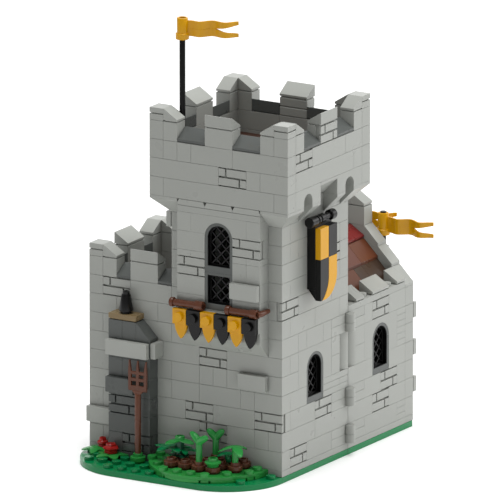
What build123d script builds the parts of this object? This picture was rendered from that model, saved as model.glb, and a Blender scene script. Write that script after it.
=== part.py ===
"""Toy castle keep in building bricks: a tower with a side wing and a hinged rear hall.

Millimetres, +Z up, +Y to the rear. The origin is on the underside, under the tower's centre.
Columns across and rows back are counted in studs, heights in plates, as brick builders count.
Columns start at the wing's left wall, rows at the front wall and heights at the underside.
"""

from build123d import *
import math
import os

os.makedirs("parts", exist_ok=True)

# The brick grid
stud = 8.0                  # pitch of the grid
plate = 3.2                 # height of a plate
brick = 3                   # height of a brick, in plates
wall = 1                    # thickness of a wall, in studs

# The plan, in studs
wing_width = 6              # side wing, left of the tower
tower_width = 8             # tower and rear hall, side to side
tower_depth = 8             # tower and wing, front to back
hall_depth = 8              # rear hall, front to back
garden_depth = 4            # green lobe in front of the tower

# The heights, in plates above the underside
base_top = 1                # green base plates
hall_wall_top = 24          # side walls of the rear hall
wing_top = 29               # crenel level of the wing
tower_top = 41              # where the corbels start
corbel_top = 44             # where the battlement starts
battlement_top = 53         # crenel level of the battlement
merlon_height = 3
cap_height = 2              # caps and sills
frame_foot = 1              # bottom bar of a window frame

# Sizes of the shaped bricks, in mm
slope_lip = 1.5             # upright edge below a 45 degree slope
cheese_lip = 1.0            # upright edge below a small slope
tile_depth = 3.2            # thickness of a tile set on a wall
stud_radius = 2.4
stud_height = 1.7
frame_width = 1.6           # window frame, around its opening
pane_depth = 1.0            # lattice pane
pane_recess = 2.7           # pane, behind the outer face
round_edge = 7.2            # rounded corner of the bricks beside the seam

# The hinge between tower and hall
knuckle_radius = 2.75
knuckle_offset = 0.95       # axis of the hinge, outside the wall's face
pin_radius = 1.2
pin_clearance = 0.05        # radial, between pin and bore
knuckle_gap = 0.2           # over, under and between the knuckles of a brick
seam_gap = 0.2              # the hall stands a hair behind the tower, so that it swings free

# The poles and flags
pole_radius = 1.5
flag_height = 8.0
flag_depth = 1.0
flag_length = 28.0          # from the pole's axis to the tips
flag_notch = 0.56           # where the notch starts, as a share of the length
tail_height = 1.8           # each tail, at its tip
wave_depth = 1.6            # the cloth's wave, each way
collar_radius = 2.35
collar_ring_radius = 3.15
collar_ring_height = 1.3    # plates

rear_corner_radius = 1.2    # rear base plate's outer corner

# Columns and rows worked out from the plan
left = 0
front = 0
tower_left = wing_width
right = wing_width + tower_width
back = tower_depth
hall_front = back + seam_gap / stud
hall_back = tower_depth + hall_depth
middle = tower_left + tower_width / 2
centre_row = tower_depth / 2


def across(column):
    """X of a column, in mm."""
    return (column - middle) * stud


def along(row):
    """Y of a row, in mm."""
    return (row - centre_row) * stud


def level(plates):
    """Z of a height counted in plates, in mm."""
    return plates * plate


def block(columns, rows, heights, mode=Mode.ADD):
    """Box between two columns, two rows and two heights."""
    with Locations((across(columns[0]), along(rows[0]), level(heights[0]))):
        Box(
            (columns[1] - columns[0]) * stud,
            (rows[1] - rows[0]) * stud,
            (heights[1] - heights[0]) * plate,
            align=(Align.MIN, Align.MIN, Align.MIN),
            mode=mode,
        )


def profile_across(points, rows, mode=Mode.ADD):
    """Outline of (x, z) points in mm, carried back between two rows."""
    with BuildSketch(Plane.XZ.offset(-along(rows[0]))) as outline:
        Polygon(*points, align=None)
    extrude(outline.sketch, amount=(rows[1] - rows[0]) * stud, dir=(0, 1, 0), mode=mode)


def profile_along(points, columns, mode=Mode.ADD):
    """Outline of (y, z) points in mm, carried sideways between two columns."""
    with BuildSketch(Plane.YZ.offset(across(columns[0]))) as outline:
        Polygon(*points, align=None)
    extrude(outline.sketch, amount=(columns[1] - columns[0]) * stud, dir=(1, 0, 0), mode=mode)


def slope_across(low, high, rows, heights, lip, mode=Mode.ADD):
    """Slope that rises from the column low, where only its lip stands, to the column high."""
    points = [
        (across(low), level(heights[0])),
        (across(high), level(heights[0])),
        (across(high), level(heights[1])),
        (across(low), level(heights[0]) + lip),
    ]
    profile_across(points, rows, mode)


def slope_along(low, high, columns, heights, lip, mode=Mode.ADD):
    """Slope that rises from the row low to the row high."""
    points = [
        (along(low), level(heights[0])),
        (along(high), level(heights[0])),
        (along(high), level(heights[1])),
        (along(low), level(heights[0]) + lip),
    ]
    profile_along(points, columns, mode)


def arch_cut(columns, rows, heights, facing, mode=Mode.SUBTRACT):
    """Opening with a round head through a wall that faces across or along."""
    low, high = level(heights[0]), level(heights[1])
    if facing == "along":
        width = (columns[1] - columns[0]) * stud
        centre = across(sum(columns) / 2)
        plane = Plane.XZ.offset(-along(rows[0]))
        depth, way = (rows[1] - rows[0]) * stud, (0, 1, 0)
    else:
        width = (rows[1] - rows[0]) * stud
        centre = along(sum(rows) / 2)
        plane = Plane.YZ.offset(across(columns[0]))
        depth, way = (columns[1] - columns[0]) * stud, (1, 0, 0)
    with BuildSketch(plane) as outline:
        with Locations((centre, low)):
            Rectangle(width, high - low - width / 2, align=(Align.CENTER, Align.MIN))
        with Locations((centre, high - width / 2)):
            Circle(width / 2)
    extrude(outline.sketch, amount=depth, dir=way, mode=mode)


def post(column, row, heights, radius, mode=Mode.ADD):
    """Upright cylinder on the grid."""
    with Locations((across(column), along(row), level(heights[0]))):
        Cylinder(
            radius,
            (heights[1] - heights[0]) * plate,
            align=(Align.CENTER, Align.CENTER, Align.MIN),
            mode=mode,
        )


def save(piece, name):
    """Name a finished piece and write its file."""
    piece.part.label = name
    export_step(piece.part, "parts/" + name + ".step")


def upright_block(columns, rows, heights, radius):
    """Box whose outer front edge is rounded."""
    with BuildSketch(Plane.XY.offset(level(heights[0]))) as outline:
        with Locations((across(columns[0]), along(rows[0]))):
            Rectangle(
                (columns[1] - columns[0]) * stud,
                (rows[1] - rows[0]) * stud,
                align=(Align.MIN, Align.MIN),
            )
        outer_corner = outline.vertices().group_by(Axis.X)[-1].sort_by(Axis.Y)[0]
        fillet(outer_corner, radius)
    extrude(outline.sketch, amount=(heights[1] - heights[0]) * plate, dir=(0, 0, 1))


def bar_across(columns, row, height, radius):
    """Round bar that lies from side to side."""
    with Locations(Plane.YZ.offset(across(columns[0]))):
        with Locations((along(row), level(height))):
            Cylinder(
                radius,
                (columns[1] - columns[0]) * stud,
                align=(Align.CENTER, Align.CENTER, Align.MIN),
            )


def bar_along(column, rows, height, radius):
    """Round bar that lies from front to back."""
    with Locations(Plane.XZ.offset(-along(rows[0]))):
        with Locations((across(column), level(height))):
            Cylinder(
                radius,
                (rows[1] - rows[0]) * stud,
                align=(Align.CENTER, Align.CENTER, Align.MAX),
            )


# ---------------------------------------------------------------- bases and garden

with BuildPart() as base_front:
    block((left, right), (front, back), (0, base_top))
save(base_front, "base_front")

with BuildPart() as base_rear:
    block((tower_left, right), (hall_front, hall_back), (0, base_top))
    rear_corner = base_rear.edges().filter_by(Axis.Z).group_by(Axis.Y)[-1].sort_by(Axis.X)[-1]
    fillet(rear_corner, rear_corner_radius)
save(base_rear, "base_rear")

# The garden is a strip with quarter-round ends in front of the walls.
garden_round = 3.99         # studs, a hair under the strip's depth

with BuildPart() as garden_plate:
    block((left, right), (front - garden_depth, front), (0, base_top))
    front_corners = garden_plate.edges().filter_by(Axis.Z).group_by(Axis.Y)[0]
    fillet(front_corners, garden_round * stud)
save(garden_plate, "garden_plate")

bed_radius = 4              # studs
bed_column = 9
bed_top = base_top + 1

with BuildPart() as garden_bed:
    with BuildSketch(Plane.XY.offset(level(base_top))) as bed_outline:
        with Locations((across(bed_column), along(front))):
            Circle(bed_radius * stud)
            Rectangle(
                2 * bed_radius * stud,
                bed_radius * stud,
                align=(Align.CENTER, Align.MIN),
                mode=Mode.SUBTRACT,
            )
    extrude(bed_outline.sketch, amount=(bed_top - base_top) * plate)
save(garden_bed, "garden_bed")

# Round pots in rows on the bed, and what grows in them
front_pots = [(7.5, -2.5), (8.5, -2.5), (9.5, -2.5), (10.5, -2.5)]
middle_pots = [(7.5, -1.5), (8.5, -1.5), (9.5, -1.5), (10.5, -1.5), (11.5, -1.5)]
rear_pots = [(9.5, -0.5), (10.5, -0.5), (11.5, -0.5)]
pot_radius = 3.4
pot_top = bed_top + 1

with BuildPart() as garden_pots:
    for pot_column, pot_row in front_pots + middle_pots + rear_pots:
        post(pot_column, pot_row, (bed_top, pot_top), pot_radius)
save(garden_pots, "garden_pots")

# Stems as (column, row, top), the bush, the sprout, and the flowers as (column, row, top)
stem_radius = 1.6
stems = [(9.5, -2.5, 8.0), (9.5, -0.5, 8.0), (11.5, -1.5, 6.0)]
sprout_place = (10.5, -2.5)
bush_place = (7.5, -1.5)
bush_top = pot_top + 3
flowers = [(1.5, -0.5, 3.7), (2.5, -1.5, 3.1)]

# The fork stands on a round plate, just clear of the tile set on the buttress.
tile_row = tile_depth / stud
fork_clearance = 0.8        # from the tile to the fork's middle
fork_place = (4.45, front - wall - tile_row - fork_clearance / stud)

with BuildPart() as garden_plants:
    for stem_column, stem_row, stem_top in stems:
        post(stem_column, stem_row, (pot_top, stem_top), stem_radius)
    post(*sprout_place, (pot_top, pot_top + 1), pot_radius)
    post(*bush_place, (pot_top, bush_top), stud_radius)
    post(*fork_place, (base_top, base_top + 1), pot_radius)
    for flower_column, flower_row, flower_top in flowers:
        post(flower_column, flower_row, (base_top, flower_top), stud_radius)
save(garden_plants, "garden_plants")

# ---------------------------------------------------------------- walls

# Windows are two studs wide. The bay's pair stand one on the other.
bay_left, bay_right = tower_left + 1, right - 1
bay_front = front - wall
window_columns = (middle - 1, middle + 1)
lower_window = (27, 33)
upper_window = (33, 41)
side_window = (11, 19)
tower_window_rows = (centre_row - 1, centre_row + 1)
hall_window_rows = (back + 3, back + 5)

doorway_top = 23            # opening between tower and hall
knuckle_bottoms = (2, 8, 20)
rounded_heights = (14, 20)  # bricks with a rounded corner, beside the seam

right_columns = (right - wall, right)
left_columns = (left, left + wall)
tower_left_columns = (tower_left, tower_left + wall)
front_rows = (front, front + wall)
back_rows = (back - wall, back)
inner_rows = (front + wall, back - wall)
bay_rows = (bay_front, front)
seam_rows = (hall_front, back + wall)

with BuildPart() as front_wall:
    block((left, right), front_rows, (base_top, wing_top))
    block((tower_left, right), front_rows, (wing_top, tower_top))
    block(window_columns, front_rows, (lower_window[0], upper_window[1]), Mode.SUBTRACT)
save(front_wall, "front_wall")

with BuildPart() as back_wall:
    block((left, right), back_rows, (base_top, wing_top))
    block((tower_left, right), back_rows, (wing_top, tower_top))
    block((tower_left + wall, right - wall), back_rows, (base_top, doorway_top), Mode.SUBTRACT)
    for bottom in knuckle_bottoms:
        block(right_columns, back_rows, (bottom, bottom + brick), Mode.SUBTRACT)
    block(right_columns, back_rows, rounded_heights, Mode.SUBTRACT)
    upright_block(right_columns, back_rows, rounded_heights, round_edge)
save(back_wall, "back_wall")

with BuildPart() as left_wall:
    block(left_columns, inner_rows, (base_top, wing_top))
save(left_wall, "left_wall")

with BuildPart() as right_wall:
    block(right_columns, inner_rows, (base_top, tower_top))
    block(right_columns, tower_window_rows, side_window, Mode.SUBTRACT)
save(right_wall, "right_wall")

# Decks: the wing's lies between its walls, the tower's on a ledge inside the battlement.
wing_deck = (wing_top - 4, wing_top - 3)
tower_deck = (battlement_top - 5, battlement_top - 4)

with BuildPart() as decks:
    block((left + wall, tower_left + wall), inner_rows, wing_deck)
    block((tower_left, right), (front, back), tower_deck)
save(decks, "decks")

with BuildPart() as tower_left_wall:
    block(tower_left_columns, inner_rows, (wing_deck[1], tower_top))
save(tower_left_wall, "tower_left_wall")

# ---------------------------------------------------------------- battlement of the tower

# The battlement stands one stud out on every side.
out_left, out_right = tower_left - 1, right + 1
out_front, out_back = front - 1, back + 1
left_flank = (out_left, tower_left)
right_flank = (right, out_right)
front_flank = (out_front, front)
back_flank = (back, out_back)

# Slots and a recess on the three free sides
slot_rows = [(front + 1, front + 2), (back - 2, back - 1)]
slot_columns = [(tower_left + 1, tower_left + 2), (right - 2, right - 1)]
recess_rows = (centre_row - 1, centre_row + 1)
recess_columns = (middle - 1, middle + 1)
slot_top = corbel_top + 2
recess_top = corbel_top + brick

with BuildPart() as corbels:
    with BuildSketch(Plane.XY.offset(level(tower_top))):
        Rectangle(tower_width * stud, tower_depth * stud)
    with BuildSketch(Plane.XY.offset(level(corbel_top) - slope_lip)):
        Rectangle((tower_width + 2) * stud, (tower_depth + 2) * stud)
    loft()
    with Locations((0, 0, level(corbel_top) - slope_lip)):
        Box(
            (tower_width + 2) * stud,
            (tower_depth + 2) * stud,
            slope_lip,
            align=(Align.CENTER, Align.CENTER, Align.MIN),
        )
    course = (tower_top, corbel_top)
    block((tower_left + wall, right - wall), inner_rows, course, Mode.SUBTRACT)
    block((bay_left, bay_right), bay_rows, course, Mode.SUBTRACT)
    for rows in slot_rows + [recess_rows]:
        block(right_flank, rows, course, Mode.SUBTRACT)
        block(left_flank, rows, course, Mode.SUBTRACT)
    for columns in slot_columns + [recess_columns]:
        block(columns, back_flank, course, Mode.SUBTRACT)
save(corbels, "corbels")

with BuildPart() as parapet:
    block((out_left, out_right), (out_front, out_back), (corbel_top, battlement_top))
    block((tower_left, right), (front, back), (tower_deck[0], battlement_top), Mode.SUBTRACT)
    under_deck = (corbel_top, tower_deck[0])
    block((tower_left + wall, right - wall), inner_rows, under_deck, Mode.SUBTRACT)
    for rows in slot_rows:
        arch_cut(right_flank, rows, (corbel_top, slot_top), "across")
        arch_cut(left_flank, rows, (corbel_top, slot_top), "across")
    for columns in slot_columns:
        arch_cut(columns, back_flank, (corbel_top, slot_top), "along")
    recess_heights = (corbel_top, recess_top)
    block(right_flank, recess_rows, recess_heights, Mode.SUBTRACT)
    block(left_flank, recess_rows, recess_heights, Mode.SUBTRACT)
    block(recess_columns, back_flank, recess_heights, Mode.SUBTRACT)
    # An inverted slope closes the top of each recess.
    low, high = level(corbel_top), level(recess_top)
    for inner, outer in [(right, out_right), (tower_left, out_left)]:
        soffit = [
            (across(inner), low),
            (across(inner), high),
            (across(outer), high),
            (across(outer), high - slope_lip),
        ]
        profile_across(soffit, recess_rows)
    rear_soffit = [
        (along(back), low),
        (along(back), high),
        (along(out_back), high),
        (along(out_back), high - slope_lip),
    ]
    profile_along(rear_soffit, recess_columns)
save(parapet, "parapet")


def corner_block(corner, inward, heights):
    """L-shaped merlon, two studs along each side of a corner."""
    ends = [corner[0] + 2 * inward[0], corner[1] + 2 * inward[1]]
    near = [corner[0] + inward[0], corner[1] + inward[1]]
    block(sorted((corner[0], ends[0])), sorted((corner[1], near[1])), heights)
    block(sorted((corner[0], near[0])), sorted((corner[1], ends[1])), heights)


def corner_cap(corner, inward, heights):
    """Flat cap on the corner, with a small slope falling away along each side."""
    ends = [corner[0] + 2 * inward[0], corner[1] + 2 * inward[1]]
    near = [corner[0] + inward[0], corner[1] + inward[1]]
    block(sorted((corner[0], near[0])), sorted((corner[1], near[1])), heights)
    slope_across(ends[0], near[0], sorted((corner[1], near[1])), heights, cheese_lip)
    slope_along(ends[1], near[1], sorted((corner[0], near[0])), heights, cheese_lip)


# Corners of the two crowns as (place, direction inward), and the gaps between merlons
tower_corners = [
    ((out_left, out_front), (1, 1)),
    ((out_right, out_front), (-1, 1)),
    ((out_left, out_back), (1, -1)),
    ((out_right, out_back), (-1, -1)),
]
wing_corners = [((left, front), (1, 1)), ((left, back), (1, -1))]
gap_rows = [(front + 1, front + 3), (back - 3, back - 1)]
gap_columns = [(tower_left + 1, tower_left + 3), (right - 3, right - 1)]
wing_gaps = [(2, 3), (5, 6)]
wing_merlon = (3, 5)

tower_merlon_heights = (battlement_top, battlement_top + merlon_height)
wing_merlon_heights = (wing_top, wing_top + merlon_height)
tower_cap_heights = (tower_merlon_heights[1], tower_merlon_heights[1] + cap_height)
wing_cap_heights = (wing_merlon_heights[1], wing_merlon_heights[1] + cap_height)
tower_sill_heights = (battlement_top, battlement_top + cap_height)
wing_sill_heights = (wing_top, wing_top + cap_height)

with BuildPart() as merlons:
    for corner, inward in tower_corners:
        corner_block(corner, inward, tower_merlon_heights)
    for corner, inward in wing_corners:
        corner_block(corner, inward, wing_merlon_heights)
    block(recess_columns, front_flank, tower_merlon_heights)
    block(recess_columns, back_flank, tower_merlon_heights)
    block(right_flank, recess_rows, tower_merlon_heights)
    block(left_flank, recess_rows, tower_merlon_heights)
    block(wing_merlon, front_rows, wing_merlon_heights)
    block(wing_merlon, back_rows, wing_merlon_heights)
    block(left_columns, wing_merlon, wing_merlon_heights)
save(merlons, "merlons")

with BuildPart() as merlon_caps:
    for corner, inward in tower_corners:
        corner_cap(corner, inward, tower_cap_heights)
    for corner, inward in wing_corners:
        corner_cap(corner, inward, wing_cap_heights)
    slope_along(front, out_front, recess_columns, tower_cap_heights, cheese_lip)
    slope_along(back, out_back, recess_columns, tower_cap_heights, cheese_lip)
    slope_across(right, out_right, recess_rows, tower_cap_heights, cheese_lip)
    slope_across(tower_left, out_left, recess_rows, tower_cap_heights, cheese_lip)
    slope_along(front_rows[1], front_rows[0], wing_merlon, wing_cap_heights, cheese_lip)
    slope_along(back_rows[0], back_rows[1], wing_merlon, wing_cap_heights, cheese_lip)
    slope_across(left_columns[1], left_columns[0], wing_merlon, wing_cap_heights, cheese_lip)
save(merlon_caps, "merlon_caps")

with BuildPart() as crenel_sills:
    for columns in gap_columns:
        slope_along(out_front, front, columns, tower_sill_heights, cheese_lip)
        slope_along(out_back, back, columns, tower_sill_heights, cheese_lip)
    for rows in gap_rows:
        slope_across(out_right, right, rows, tower_sill_heights, cheese_lip)
        slope_across(out_left, tower_left, rows, tower_sill_heights, cheese_lip)
    for span in wing_gaps:
        slope_along(front_rows[0], front_rows[1], span, wing_sill_heights, cheese_lip)
        slope_along(back_rows[1], back_rows[0], span, wing_sill_heights, cheese_lip)
        slope_across(left_columns[0], left_columns[1], span, wing_sill_heights, cheese_lip)
save(crenel_sills, "crenel_sills")

# ---------------------------------------------------------------- bay and windows

bay_bottom = 20
bay_foot_top = bay_bottom + brick
bay_top = 43
bracket_depth = 1.6         # plates on edge that carry the pennants
pennant_heights = (24.3, 26.8)
bracket_front = bay_front - bracket_depth / stud

with BuildPart() as bay_wall:
    block((bay_left, bay_right), bay_rows, (bay_foot_top, bay_top))
    foot = [
        (along(front), level(bay_bottom)),
        (along(front), level(bay_foot_top)),
        (along(bay_front), level(bay_foot_top)),
        (along(bay_front), level(bay_foot_top) - slope_lip),
    ]
    profile_along(foot, (bay_left, bay_right))
    block(window_columns, bay_rows, (lower_window[0], upper_window[1]), Mode.SUBTRACT)
    block((bay_left, bay_right), (bracket_front, bay_front), pennant_heights)
save(bay_wall, "bay_wall")

# Three pieces close the bay under the battlement. Their upper ends are cut at a slant.
trim_length = 2
trim_slant = 0.8

with BuildPart() as bay_trim:
    for trim_left in range(bay_left, bay_right, trim_length):
        trim_right = trim_left + trim_length
        trim = [
            (across(trim_left), level(bay_top)),
            (across(trim_right), level(bay_top)),
            (across(trim_right), level(corbel_top) - 2 * trim_slant),
            (across(trim_right) - trim_slant, level(corbel_top)),
            (across(trim_left) + trim_slant, level(corbel_top)),
            (across(trim_left), level(corbel_top) - 2 * trim_slant),
        ]
        profile_across(trim, bay_rows)
save(bay_trim, "bay_trim")

frame_inset = frame_width / stud
frame_rise = frame_width / plate


def inside(span, margin):
    """A span made shorter at both ends."""
    return (span[0] + margin, span[1] - margin)


def opening(heights):
    """Heights between a window frame's bottom bar and its top one."""
    return (heights[0] + frame_foot, heights[1] - frame_rise)


def frame_across(columns, rows, heights):
    """Arched window frame in a wall that faces left or right."""
    block(columns, rows, heights)
    arch_cut(columns, inside(rows, frame_inset), opening(heights), "across")


def frame_along(columns, rows, heights, arched):
    """Window frame in a wall that faces front or back."""
    block(columns, rows, heights)
    if arched:
        arch_cut(inside(columns, frame_inset), rows, opening(heights), "along")
    else:
        block(inside(columns, frame_inset), rows, opening(heights), Mode.SUBTRACT)


def pane_span(face, inward):
    """Where a pane lies behind the outer face of its wall, in studs."""
    near = face + inward * pane_recess / stud
    return sorted((near, near + inward * pane_depth / stud))


def pane_across(face, inward, rows, heights):
    """Arched lattice pane in a wall that faces left or right."""
    arch_cut(pane_span(face, inward), inside(rows, frame_inset), opening(heights), "across", Mode.ADD)


def pane_along(columns, face, inward, heights, arched):
    """Lattice pane in a wall that faces front or back."""
    rows = pane_span(face, inward)
    if arched:
        arch_cut(inside(columns, frame_inset), rows, opening(heights), "along", Mode.ADD)
    else:
        block(inside(columns, frame_inset), rows, opening(heights))


with BuildPart() as bay_lower_frame:
    frame_along(window_columns, bay_rows, lower_window, False)
save(bay_lower_frame, "bay_lower_frame")

with BuildPart() as arched_frames:
    frame_along(window_columns, bay_rows, upper_window, True)
    frame_across(right_columns, tower_window_rows, side_window)
save(arched_frames, "arched_frames")

with BuildPart() as window_lattices:
    pane_along(window_columns, bay_front, 1, lower_window, False)
    pane_along(window_columns, bay_front, 1, upper_window, True)
    pane_across(right, -1, tower_window_rows, side_window)
save(window_lattices, "window_lattices")

# ---------------------------------------------------------------- buttress and what stands by it

buttress_left, buttress_right = 2, 5
buttress_foot = 20          # where its sloped top starts
buttress_top = buttress_foot + brick
shelf_right = buttress_left + 2

# A tile on edge starts half a plate above the underside of its brick and ends at its top.
stone_rise = 0.5


def stone_heights(brick_bottom):
    """Heights of a tile set on the side of a brick."""
    return (brick_bottom + stone_rise, brick_bottom + brick)


def front_stone(columns, face, brick_bottom):
    """Tile set on a wall that faces the front."""
    block(columns, (face - tile_row, face), stone_heights(brick_bottom))


with BuildPart() as buttress:
    block((buttress_left, buttress_right), bay_rows, (base_top, buttress_foot))
    block((buttress_left, buttress_right - 1), bay_rows, (buttress_foot, buttress_top))
    slope_across(buttress_right, buttress_right - 1, bay_rows, (buttress_foot, buttress_top), slope_lip)
    front_stone((buttress_left, shelf_right), bay_front, 11)
save(buttress, "buttress")

with BuildPart() as buttress_shelf:
    block((buttress_left, shelf_right), bay_rows, (buttress_top, buttress_top + 1))
save(buttress_shelf, "buttress_shelf")

cone_bottom_radius = 3.5
cone_top_radius = 2.3
cone_rim_radius = 1.9
cone_top = buttress_top + 1 + brick
cone_rim_height = 0.5       # plates
cone_place = (buttress_left + 1, front - wall / 2)

with BuildPart() as shelf_cone:
    with Locations((across(cone_place[0]), along(cone_place[1]), level(buttress_top + 1))):
        Cone(
            cone_bottom_radius,
            cone_top_radius,
            brick * plate,
            align=(Align.CENTER, Align.CENTER, Align.MIN),
        )
    post(*cone_place, (cone_top, cone_top + cone_rim_height), cone_rim_radius)
save(shelf_cone, "shelf_cone")

# The fork stands upright: a handle, three tines and three cross bars.
handle_radius = 1.7
tine_radius = 0.7
tine_pitch = 4.5
fork_head = (12.4, 17.4)
fork_bars = [(12.4, 13.4), (14.0, 14.6), (15.2, 15.8)]

with BuildPart() as pitchfork:
    post(*fork_place, (base_top + 1, fork_head[0]), handle_radius)
    post(*fork_place, fork_head, tine_radius)
    fork_columns = (
        fork_place[0] - (tine_pitch + tine_radius) / stud,
        fork_place[0] + (tine_pitch + tine_radius) / stud,
    )
    fork_rows = (fork_place[1] - tine_radius / stud, fork_place[1] + tine_radius / stud)
    for bar_heights in fork_bars:
        block(fork_columns, fork_rows, bar_heights)
    for shift in (-tine_pitch, tine_pitch):
        post(fork_place[0] + shift / stud, fork_place[1], fork_head, tine_radius)
save(pitchfork, "pitchfork")

# ---------------------------------------------------------------- rail and pennants on the bay

# Two logs lie on the pennants. The right one has a short arm that turns back along the bay.
rail_radius = 2.0
rail_collar = 2.4
rail_collar_length = 0.45   # studs
rail_row = bay_front - rail_collar / stud
rail_height = pennant_heights[1] + rail_collar / plate
rail_spans = [(6.72, 9.15), (10.8, 13.3)]
arm_radius = 1.3
arm_column = 13.2
arm_rear = -0.2

with BuildPart() as bay_rail:
    for rail_start, rail_end in rail_spans:
        bar_across((rail_start, rail_end), rail_row, rail_height, rail_radius)
        bar_across((rail_start, rail_start + rail_collar_length), rail_row, rail_height, rail_collar)
        bar_across((rail_end - rail_collar_length, rail_end), rail_row, rail_height, rail_collar)
    bar_along(arm_column, (rail_row, arm_rear), rail_height, arm_radius)
save(bay_rail, "bay_rail")

pennant_depth = 3.2
pennant_margin = 0.1
pennant_front = bracket_front - pennant_depth / stud
tooth_depth = 1.6
tooth_half_width = 3.5
tooth_cheek_half_width = 2.3
tooth_shoulder = 23.6
tooth_cheek = 22.8
tooth_tip = 21.9


def pennant(column):
    """One-stud plate on edge, with a stud in front and a pointed tooth below."""
    centre = across(column + 0.5)
    columns = inside((column, column + 1), pennant_margin / stud)
    block(columns, (pennant_front, bracket_front), pennant_heights)
    right_side = [
        (tooth_half_width, level(pennant_heights[0])),
        (tooth_half_width, level(tooth_shoulder)),
        (tooth_cheek_half_width, level(tooth_cheek)),
    ]
    tooth = [(centre + x, z) for x, z in right_side]
    tooth.append((centre, level(tooth_tip)))
    tooth += [(centre - x, z) for x, z in reversed(right_side)]
    profile_across(tooth, (bracket_front - tooth_depth / stud, bracket_front))
    with Locations(Plane.XZ.offset(-along(pennant_front))):
        with Locations((centre, level(sum(pennant_heights) / 2))):
            Cylinder(stud_radius, stud_height, align=(Align.CENTER, Align.CENTER, Align.MIN))


with BuildPart() as yellow_pennants:
    for pennant_column in range(bay_left, bay_right, 2):
        pennant(pennant_column)
save(yellow_pennants, "yellow_pennants")

with BuildPart() as black_pennants:
    for pennant_column in range(bay_left + 1, bay_right, 2):
        pennant(pennant_column)
save(black_pennants, "black_pennants")

# ---------------------------------------------------------------- banner on the right wall

# A backing, and four quarters in front of it. The lower two curve in to a tip at the left.
banner_rows = (3, 5)
banner_middle = 4
banner_top = 39.5
banner_split = 34.5
banner_bend = 31.6          # where the lower edges start to curve
banner_tip = 27.9
backing_heights = (29.5, 40.2)
backing_front = right + 0.6
banner_front = right + 1
quarter_margin = 0.1        # half the gap between two quarters, side by side
left_tip_width = 1.5
right_tip_width = 3.0
right_bend = (5.3, 8.1)     # a point of the outer curve, inward and down from its start
quarter_gap = quarter_margin / stud
left_quarter = (banner_rows[0], banner_middle - quarter_gap)
right_quarter = (banner_middle + quarter_gap, banner_rows[1])
quarter_columns = (backing_front, banner_front)

# The rod over it, with a thick end at the left and a round knob at the right
rod_radius = 2.1
rod_column = right + 0.5
rod_height = backing_heights[1] + 0.4
rod_rows = (2.4, 5.3)
rod_block_rows = (2.4, 3.0)
rod_block_radius = 2.3
knob_rows = (4.8, 5.4)
knob_radius = 2.9


def banner_foot_left():
    """Lower left quarter: straight at the left, curved at the right."""
    start, end = along(left_quarter[0]), along(left_quarter[1])
    tip = start + left_tip_width
    with BuildSketch(Plane.YZ.offset(across(backing_front))) as outline:
        with BuildLine():
            Polyline((start, level(banner_tip)), (start, level(banner_split)), (end, level(banner_split)))
            Line((end, level(banner_split)), (end, level(banner_bend)))
            TangentArc((end, level(banner_bend)), (tip, level(banner_tip)), tangent=(0, -1))
            Line((tip, level(banner_tip)), (start, level(banner_tip)))
        make_face()
    extrude(outline.sketch, amount=across(banner_front) - across(backing_front), dir=(1, 0, 0))


def banner_foot_right():
    """Lower right quarter: a curved strip that narrows to the tip."""
    start, end = along(right_quarter[0]), along(right_quarter[1])
    inner_tip = along(left_quarter[0]) + left_tip_width + 2 * quarter_margin
    outer_tip = along(left_quarter[0]) + right_tip_width
    bend = (end - right_bend[0], level(banner_bend) - right_bend[1])
    with BuildSketch(Plane.YZ.offset(across(backing_front))) as outline:
        with BuildLine():
            Polyline((start, level(banner_bend)), (start, level(banner_split)), (end, level(banner_split)))
            Line((end, level(banner_split)), (end, level(banner_bend)))
            ThreePointArc((end, level(banner_bend)), bend, (outer_tip, level(banner_tip)))
            Line((outer_tip, level(banner_tip)), (inner_tip, level(banner_tip)))
            TangentArc((start, level(banner_bend)), (inner_tip, level(banner_tip)), tangent=(0, -1))
        make_face()
    extrude(outline.sketch, amount=across(banner_front) - across(backing_front), dir=(1, 0, 0))


with BuildPart() as banner_backing:
    block((right, backing_front), banner_rows, backing_heights)
    block(quarter_columns, right_quarter, (banner_split, banner_top))
    banner_foot_left()
    bar_along(rod_column, rod_rows, rod_height, rod_radius)
    bar_along(rod_column, rod_block_rows, rod_height, rod_block_radius)
    bar_along(rod_column, knob_rows, rod_height, knob_radius)
save(banner_backing, "banner_backing")

with BuildPart() as banner_yellow:
    block(quarter_columns, left_quarter, (banner_split, banner_top))
    banner_foot_right()
save(banner_yellow, "banner_yellow")

# ---------------------------------------------------------------- tiles that stand proud of the walls

# The undersides of the bricks that carry a tile
wing_stone, tower_stone, bay_stone, keep_stone, band_stone = 5, 14, 29, 38, 17
gable_stones = (5, 11, 17)

with BuildPart() as raised_stones:
    front_stone((left, left + 2), front, wing_stone)
    front_stone((bay_right - 2, bay_right), front, tower_stone)
    front_stone((bay_right - 2, bay_right), bay_front, bay_stone)
    front_stone((buttress_left, buttress_right), bay_front, band_stone)
    block((buttress_right, buttress_right + tile_row), bay_rows, stone_heights(band_stone))
    block((tower_left - tile_row, tower_left), (front, front + 2), stone_heights(keep_stone))
save(raised_stones, "raised_stones")

with BuildPart() as rear_stones:
    for brick_bottom in gable_stones:
        block((right - 2, right), (hall_back, hall_back + tile_row), stone_heights(brick_bottom))
save(rear_stones, "rear_stones")

# ---------------------------------------------------------------- flags

pole_place = (tower_left + 0.5, front + 0.5)
pole_top = 72.3
collar_heights = (68.5, 72.4)
main_turn = 22              # degrees from the front, seen from above
cloth_start = collar_radius - 0.4


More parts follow.
